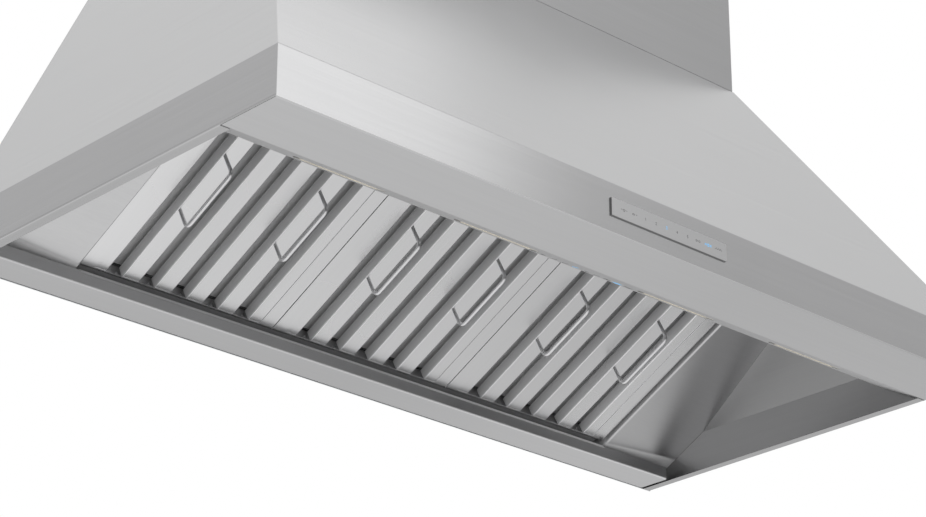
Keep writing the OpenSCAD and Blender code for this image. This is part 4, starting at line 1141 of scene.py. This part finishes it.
@dataclass
class Control(Assembly):
    """The touch control in the band, and the row of marks on the lamp strip.

    Args:
        corner: The radius of the plate's corners.
        corner_steps: The number of steps in a corner.
        chamfer: The width of the chamfer round the plate's front.
        mark_proud: How far the printed marks stand out.
        stroke: The radius of a mark's stroke.
        stroke_sides: The number of sides of its section.
        stroke_bend: The bend radius of a stroke, as a share of its radius.
        mark_pitch: The distance from one mark to the next.
        mark_shift: How far the row of marks stands to the right of the plate's middle.
        mark_rise: How far the row stands above the plate's middle.
        mark_h: The height of a mark.
        strip_front: The place of the lamp strip's front fold.
        strip_tilt: The slope of the lamp strip, in degrees.
        strip_along: The distance along the strip from its front fold to its own row of marks.
        strip_stretch: How much taller the strip's marks are, because they are read at a slant.
        strip_weight: How much bolder they are.
    """

    wears = {Finish.PLASTIC: ("control_housing",), Finish.BOARD: ("control_board",)}
    corner: float = 0.8 * MM
    corner_steps: int = 6
    chamfer: float = 0.35 * MM
    mark_proud: float = 0.12 * MM
    stroke: float = 0.5 * MM
    stroke_sides: int = 8
    stroke_bend: float = 0.25
    mark_pitch: float = 18.4 * MM
    mark_shift: float = 3.0 * MM
    mark_rise: float = 0.3 * MM
    mark_h: float = 3.4 * MM
    strip_front: float = -514.6 * MM
    strip_tilt: float = 28.0
    strip_along: float = 64.0 * MM
    strip_stretch: float = 3.0
    strip_weight: float = 2.4

    def add_pieces(self) -> None:
        """Builds the plate, its marks and the strip's marks."""
        low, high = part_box("control_plate")
        middle = 0.5 * (low + high)
        mesh = self.slab("control_face", high - low)
        mesh.transform(Matrix.Translation((middle.x, high.y, middle.z)))
        plate = self.shop.add("control_face", mesh, Finish.PLATE)
        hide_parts("control_plate")
        spot = Vector((self.mark_shift, low.y + self.stroke, middle.z + self.mark_rise))
        self.add_marks("control", spot, Vector((0.0, 0.0, 1.0)), self.stroke)
        slope = math.radians(self.strip_tilt)
        along = Vector((0.0, math.cos(slope), math.sin(slope)))
        below = Vector((0.0, math.sin(slope), -math.cos(slope)))
        spot = Vector((self.mark_shift, self.strip_front, 0.0)) + along * self.strip_along
        stroke = self.stroke * self.strip_weight
        sunk = stroke - self.mark_proud * self.strip_weight
        self.add_marks("strip", spot - below * sunk, along * self.strip_stretch, stroke)

    def slab(self, name: str, size: Vector) -> bpy.types.Mesh:
        """Builds the plate with rounded corners and a chamfered front, standing on y = 0 and facing -Y.

        Args:
            name: The mesh's name.
            size: The room that the plate and its marks take.

        Returns:
            The plate's mesh.
        """
        rings = []
        form = bmesh.new()
        depth = size.y - self.mark_proud
        for inset, back in ((0.0, 0.0), (0.0, -depth + self.chamfer), (self.chamfer, -depth)):
            ring = []
            for quarter, (sx, sz) in enumerate(((1, 1), (-1, 1), (-1, -1), (1, -1))):
                centre = (sx * (size.x / 2 - self.corner), sz * (size.z / 2 - self.corner))
                for x, z in arc(centre, self.corner - inset, 90.0 * quarter, 90.0, self.corner_steps):
                    ring.append(form.verts.new((x, back, z)))
            rings.append(ring)
        for low, high in zip(rings, rings[1:]):
            for i, first in enumerate(low):
                after = (i + 1) % len(low)
                form.faces.new((first, low[after], high[after], high[i]))
        form.faces.new(rings[0])
        form.faces.new(rings[-1])
        bmesh.ops.recalc_face_normals(form, faces=form.faces)
        return mesh_from(name, form)

    def add_marks(self, name: str, middle: Vector, upward: Vector, stroke: float) -> None:
        """Prints the row of marks on a plane.

        Args:
            name: The start of the pieces' names.
            middle: The middle of the row.
            upward: The direction that the marks stand in, as long as they are stretched.
            stroke: The radius of a stroke.
        """
        across = Vector((1.0, 0.0, 0.0))
        plain, lit = [], []
        for i, mark in enumerate(Mark):
            centre = middle + across * (i - (len(Mark) - 1) / 2) * self.mark_pitch
            for path in mark.value:
                points = [centre + across * (u * self.mark_h) + upward * (v * self.mark_h) for u, v in path]
                (lit if mark in LIT_MARKS else plain).append(points)
        bend = self.stroke_bend * stroke
        self.shop.wire(f"{name}_marks", plain, Finish.MARK, stroke, bend, self.stroke_sides)
        self.shop.wire(f"{name}_lit_marks", lit, Finish.MARK_LIT, stroke, bend, self.stroke_sides)


@dataclass
class Blower(Assembly):
    """The blower, the duct and the damper.

    Args:
        flange_t: The thickness of the outlet box's flange.
        screw_r: The radius of the outlet box's screws.
        screw_h: The height of their heads.
        screw_pitch: The distance from one to the next.
        edge: The distance from the flange's rim to the screws.
        start: The distance from the flange's corners to the first screw of a row.
        cheek_in: The distance from a scroll's end to its cheek.
        rivet_r: The radius of the inlets' rivets.
        rivet_h: The height of their heads.
        rivet_pitch: The distance from one to the next.
        rivet_out: How far outside the inlet ring they stand.
        rivet_turn: How far round the ring they go, in degrees.
        rivet_steps: The number of steps in the line that they follow.
    """

    wears = {
        Finish.ZINC: ("blower_scroll_left", "blower_scroll_right", "blower_inlets", "motor_bracket",
                      "outlet_box", "duct_collar", "damper_flap_front", "damper_flap_rear"),
        Finish.WHEEL: ("impeller_left", "impeller_right"),
        Finish.SHAFT: ("motor_shaft", "damper_pin"),
        Finish.MOTOR: ("motor",),
        Finish.CAN: ("run_capacitor",),
        Finish.FASTENER: ("blower_bolts", "duct_screws", "clip_screws"),
    }
    flange_t: float = 1.0 * MM
    screw_r: float = 2.3 * MM
    screw_h: float = 2.4 * MM
    screw_pitch: float = 78.0 * MM
    edge: float = 3.9 * MM
    start: float = 12.0 * MM
    cheek_in: float = 12.0 * MM
    rivet_r: float = 2.4 * MM
    rivet_h: float = 1.1 * MM
    rivet_pitch: float = 60.0 * MM
    rivet_out: float = 4.0 * MM
    rivet_turn: float = 345.0
    rivet_steps: int = 23

    def add_pieces(self) -> None:
        """Adds the outlet box's screws and the inlets' rivets."""
        self.add_box_screws()
        for side in ("left", "right"):
            self.add_inlet_rivets(side)

    def add_box_screws(self) -> None:
        """Screws the outlet box's flange to the top plate."""
        low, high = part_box("outlet_box")
        x, front, rear = high.x - self.edge, low.y + self.edge, high.y - self.edge
        z = low.z + self.flange_t
        paths = [[Vector((-x + self.start, y, z)), Vector((x - self.start, y, z))] for y in (front, rear)]
        paths += [[Vector((end * x, front + self.start, z)), Vector((end * x, rear - self.start, z))]
                  for end in (-1, 1)]
        self.shop.heads("outlet_box_screws", self.shop.recipes.screws, paths, self.screw_pitch, self.screw_r,
                        self.screw_h)

    def add_inlet_rivets(self, side: str) -> None:
        """Rivets the two inlet rings of a scroll to its cheeks.

        Args:
            side: Which scroll.
        """
        scroll_low, scroll_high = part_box(f"blower_scroll_{side}")
        ring_low, ring_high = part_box("blower_inlets")
        wheel_low, wheel_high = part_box(f"impeller_{side}")
        middle = 0.5 * (wheel_low + wheel_high)
        radius = 0.5 * (ring_high.z - ring_low.z) + self.rivet_out
        circle = arc((middle.y, middle.z), radius, turn=self.rivet_turn, steps=self.rivet_steps)
        for way, x in ((-1, scroll_low.x + self.cheek_in), (1, scroll_high.x - self.cheek_in)):
            end = "inner" if way * x < 0 else "outer"
            path = [Vector((x, y, z)) for y, z in circle]
            self.shop.heads(f"inlet_rivets_{side}_{end}", self.shop.recipes.rivets, [path], self.rivet_pitch,
                            self.rivet_r, self.rivet_h, (0.0, way * math.pi / 2, 0.0))


@dataclass
class Electrics(Assembly):
    """The power box, its gland and the capacitor's top.

    Args:
        screw_r: The radius of the cover's screws.
        screw_h: The height of their heads.
        corner: The distance from the cover's edges to its screws.
        pitch_share: The distance from one screw to the next, as a share of the cover's depth.
        can_r: The capacitor's radius.
        can_steps: The number of steps round it.
        rim_r: The radius of its rolled rim.
        rim_bend: The bend radius between the rim's steps.
        rim_sides: The number of sides of the rim's section.
        blade: The size of a terminal's blade.
        blade_place: The place of a blade from the middle of the capacitor's top.
        blade_edge: The width of the bevel on a blade's edges.
        blade_edge_steps: The number of steps in that bevel.
    """

    wears = {
        Finish.ZINC: ("power_box", "power_box_cover"),
        Finish.BOARD: ("power_module",),
        Finish.PLASTIC: ("cable_gland",),
    }
    screw_r: float = 2.4 * MM
    screw_h: float = 2.2 * MM
    corner: float = 9.0 * MM
    pitch_share: float = 0.9
    can_r: float = 22.0 * MM
    can_steps: int = 40
    rim_r: float = 1.1 * MM
    rim_bend: float = 0.1 * MM
    rim_sides: int = 12
    blade: Triple = (6.3 * MM, 0.8 * MM, 9.0 * MM)
    blade_place: Triple = (8.0 * MM, 3.2 * MM, 4.0 * MM)
    blade_edge: float = 0.25 * MM
    blade_edge_steps: int = 2

    def add_pieces(self) -> None:
        """Adds the cover's screws and the capacitor's top."""
        low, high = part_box("power_box_cover")
        rows = [[Vector((x, low.y + self.corner, high.z)), Vector((x, high.y - self.corner, high.z))]
                for x in (low.x + self.corner, high.x - self.corner)]
        self.shop.heads("power_box_screws", self.shop.recipes.screws, rows,
                        self.pitch_share * (high.y - low.y), self.screw_r, self.screw_h)
        self.add_capacitor_top()

    def add_capacitor_top(self) -> None:
        """Adds the rolled rim and the blade terminals on top of the run capacitor."""
        low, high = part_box("run_capacitor")
        top = Vector((0.5 * (low.x + high.x), 0.5 * (low.y + high.y), high.z))
        circle = arc((top.x, top.y), self.can_r - self.rim_r, steps=self.can_steps)
        rim = [Vector((x, y, top.z)) for x, y in circle]
        self.shop.wire("capacitor_rim", [rim], Finish.CAN, self.rim_r, self.rim_bend, self.rim_sides)
        form = bmesh.new()
        size = Matrix.Diagonal((*self.blade, 1.0))
        for side in (-1, 1):
            for row in (-1, 1):
                place = top + Vector((side, row, 1)) * Vector(self.blade_place)
                bmesh.ops.create_cube(form, size=1.0, matrix=Matrix.Translation(place) @ size)
        bmesh.ops.bevel(form, geom=form.edges, offset=self.blade_edge, segments=self.blade_edge_steps,
                        affect="EDGES")
        self.shop.add("capacitor_terminals", mesh_from("capacitor_terminals", form), Finish.FASTENER)


@dataclass
class Chimney(Assembly):
    """The two telescoping covers and what holds them."""

    wears = {
        Finish.CHIMNEY: ("chimney_lower", "chimney_upper"),
        Finish.ZINC: ("chimney_clips", "ceiling_bracket"),
    }


@dataclass(frozen=True)
class StudioLight:
    """A soft rectangular lamp that looks at a point.

    Args:
        name: The lamp's name.
        place: Where it stands.
        target: The point that it faces.
        size: Its width and height.
        power: Its power in watts.
    """

    name: str
    place: Triple
    target: Triple
    size: Pair
    power: float

    def build(self) -> None:
        """Adds the lamp to the scene."""
        data = bpy.data.lights.new(self.name, "AREA")
        data.shape = "RECTANGLE"
        data.size, data.size_y = self.size
        data.energy = self.power
        lamp = place_object(self.name, data)
        lamp.location = self.place
        aim = Vector(self.target) - Vector(self.place)
        lamp.rotation_euler = aim.to_track_quat("-Z", "Y").to_euler()


@dataclass
class Studio:
    """The camera, the pale floor, the even sky and the soft lamps.

    Args:
        camera_place: Where the camera stands.
        yaw: The camera's turn from +Y towards +X, in degrees.
        pitch: How far it looks up, in degrees.
        roll: Its turn about its own axis, in degrees.
        lens: Its focal length in millimetres.
        sensor: The width of its sensor in millimetres.
        reach: The greatest distance that it sees.
        floor_z: The height of the floor.
        floor_half: Half the floor's side.
        floor_grey: The brightness of the floor's own colour.
        floor_rough: Its roughness.
        floor_glow: How much of the floor, as seen by the camera and in the steel, is plain light.
        floor_fade: The distances from the origin at which the floor in the steel starts and ends to fade.
        floor_far: The brightness that it fades to.
        shade_place: The middle of the shaded patch of the floor that the right end of the hood mirrors.
        shade_fade: The distances from there between which the patch fades out.
        shade_level: The brightness in the middle of the patch.
        sky_level: The brightness of the sky at eye level.
        sky_rise: How much brighter it is overhead and underfoot.
        sky_rear: How much brighter it is towards the wall.
        lamps: The soft lamps.
    """

    camera_place: Triple = (-2.285011, -2.690795, -1.365221)
    yaw: float = 43.088
    pitch: float = 23.818
    roll: float = 0.083
    lens: float = 109.565
    sensor: float = 36.0
    reach: float = 60.0
    floor_z: float = -1.75
    floor_half: float = 12.0
    floor_grey: float = 0.8
    floor_rough: float = 0.9
    floor_glow: float = 0.86
    floor_fade: Pair = (1.75, 8.5)
    floor_far: float = 0.36
    shade_place: Pair = (3.3, -0.4)
    shade_fade: Pair = (0.7, 2.3)
    shade_level: float = 0.55
    sky_level: float = 0.5
    sky_rise: float = 0.6
    sky_rear: float = 0.06
    lamps: tuple[StudioLight, ...] = (
        StudioLight("band softbox", (0.90, -2.75, 1.32), (-0.47, -0.61, 0.03), (1.27, 0.75), 2.3),
        StudioLight("slope softbox", (0.85, -0.1, 2.75), (-0.5, -0.56, 0.15), (1.1, 1.2), 1.05),
    )

    def build(self) -> None:
        """Builds the studio."""
        self.add_camera()
        self.add_floor()
        self.add_sky()
        for lamp in self.lamps:
            lamp.build()
        bpy.context.scene.view_settings.view_transform = "Standard"

    def add_camera(self) -> None:
        """Adds the camera at the photograph's viewing angle."""
        yaw, pitch, roll = (math.radians(v) for v in (self.yaw, self.pitch, self.roll))
        forward = Vector((math.sin(yaw) * math.cos(pitch), math.cos(yaw) * math.cos(pitch), math.sin(pitch)))
        right = Vector((math.cos(yaw), -math.sin(yaw), 0.0))
        up = right.cross(forward)
        across = math.cos(roll) * right + math.sin(roll) * up
        above = -math.sin(roll) * right + math.cos(roll) * up
        data = bpy.data.cameras.new("photo camera")
        data.sensor_width = self.sensor
        data.lens = self.lens
        data.clip_end = self.reach
        camera = place_object("photo camera", data)
        turn = Matrix((across, above, -forward)).transposed().to_4x4()
        camera.matrix_world = Matrix.Translation(self.camera_place) @ turn
        bpy.context.scene.camera = camera

    def add_floor(self) -> None:
        """Adds the pale floor, which shows white to the camera and in the steel and keeps its shadow."""
        half = self.floor_half
        corners = [(-half, -half), (half, -half), (half, half), (-half, half)]
        mesh = bpy.data.meshes.new("floor")
        mesh.from_pydata([(x, y, self.floor_z) for x, y in corners], [], [(0, 1, 2, 3)])
        place_object("floor", mesh)
        material, shelf, shader = open_material("pale floor")
        grey = self.floor_grey
        shelf.feed(shader, {"Base Color": (grey, grey, grey, 1.0), "Roughness": self.floor_rough})
        place = shelf.node("ShaderNodeTexCoord").outputs["Object"]
        middle = (*self.shade_place, self.floor_z)
        far = shelf.node("ShaderNodeVectorMath", {0: place}, operation="LENGTH").outputs["Value"]
        off = shelf.node("ShaderNodeVectorMath", {0: place, 1: middle}, operation="DISTANCE").outputs["Value"]
        faded = shelf.math("MULTIPLY", shelf.ramp(far, self.floor_fade, (1.0, self.floor_far)),
                           shelf.ramp(off, self.shade_fade, (self.shade_level, 1.0)))
        seen = shelf.node("ShaderNodeLightPath").outputs
        level = shelf.math("MAXIMUM", faded, seen["Is Camera Ray"])
        shown = shelf.math("MAXIMUM", seen["Is Camera Ray"], seen["Is Glossy Ray"])
        glow = shelf.node("ShaderNodeEmission", {"Strength": level}).outputs[0]
        floor = shelf.mixed(shelf.math("MULTIPLY", shown, self.floor_glow), shader.outputs[0], glow)
        under = shelf.node("ShaderNodeNewGeometry").outputs["Backfacing"]
        clear = shelf.node("ShaderNodeBsdfTransparent").outputs[0]
        shelf.feed(material.node_tree.nodes["Material Output"], {"Surface": shelf.mixed(under, floor, clear)})
        mesh.materials.append(material)

    def add_sky(self) -> None:
        """Adds the even sky: white behind the hood, and a soft graded studio in the steel."""
        world = bpy.data.worlds.new("studio")
        world.use_nodes = True
        bpy.context.scene.world = world
        shelf = Shelf(world.node_tree)
        studio = world.node_tree.nodes["Background"]
        white = (1.0, 1.0, 1.0, 1.0)
        behind = shelf.node("ShaderNodeBackground", {"Strength": 1.0, "Color": white})
        place = shelf.node("ShaderNodeTexCoord").outputs["Generated"]
        parts = shelf.node("ShaderNodeSeparateXYZ", {0: place}).outputs
        steep = shelf.math("MULTIPLY", shelf.math("MULTIPLY", parts["Z"], parts["Z"]), self.sky_rise)
        rearward = shelf.math("MULTIPLY", parts["Y"], self.sky_rear)
        level = shelf.math("ADD", shelf.math("ADD", steep, self.sky_level), rearward)
        shelf.feed(studio, {"Strength": level, "Color": white})
        path = shelf.node("ShaderNodeLightPath").outputs
        seen = shelf.math("MAXIMUM", path["Is Camera Ray"], path["Is Transmission Ray"])
        sky = shelf.mixed(seen, studio.outputs[0], behind.outputs[0])
        shelf.feed(world.node_tree.nodes["World Output"], {"Surface": sky})


def main() -> None:
    """Builds the dressed hood and its studio, in order."""
    logging.basicConfig(level=logging.INFO, format="%(name)s: %(message)s")
    bpy.ops.wm.read_factory_settings(use_empty=True)
    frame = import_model()
    shop = Workshop(frame, Paintbox(SurfaceGroups.build()), Recipes.build())
    Studio().build()
    for assembly in (Canopy, Filters, Lamps, Control, Blower, Electrics, Chimney):
        assembly(shop).build()


if __name__ == "__main__":
    main()
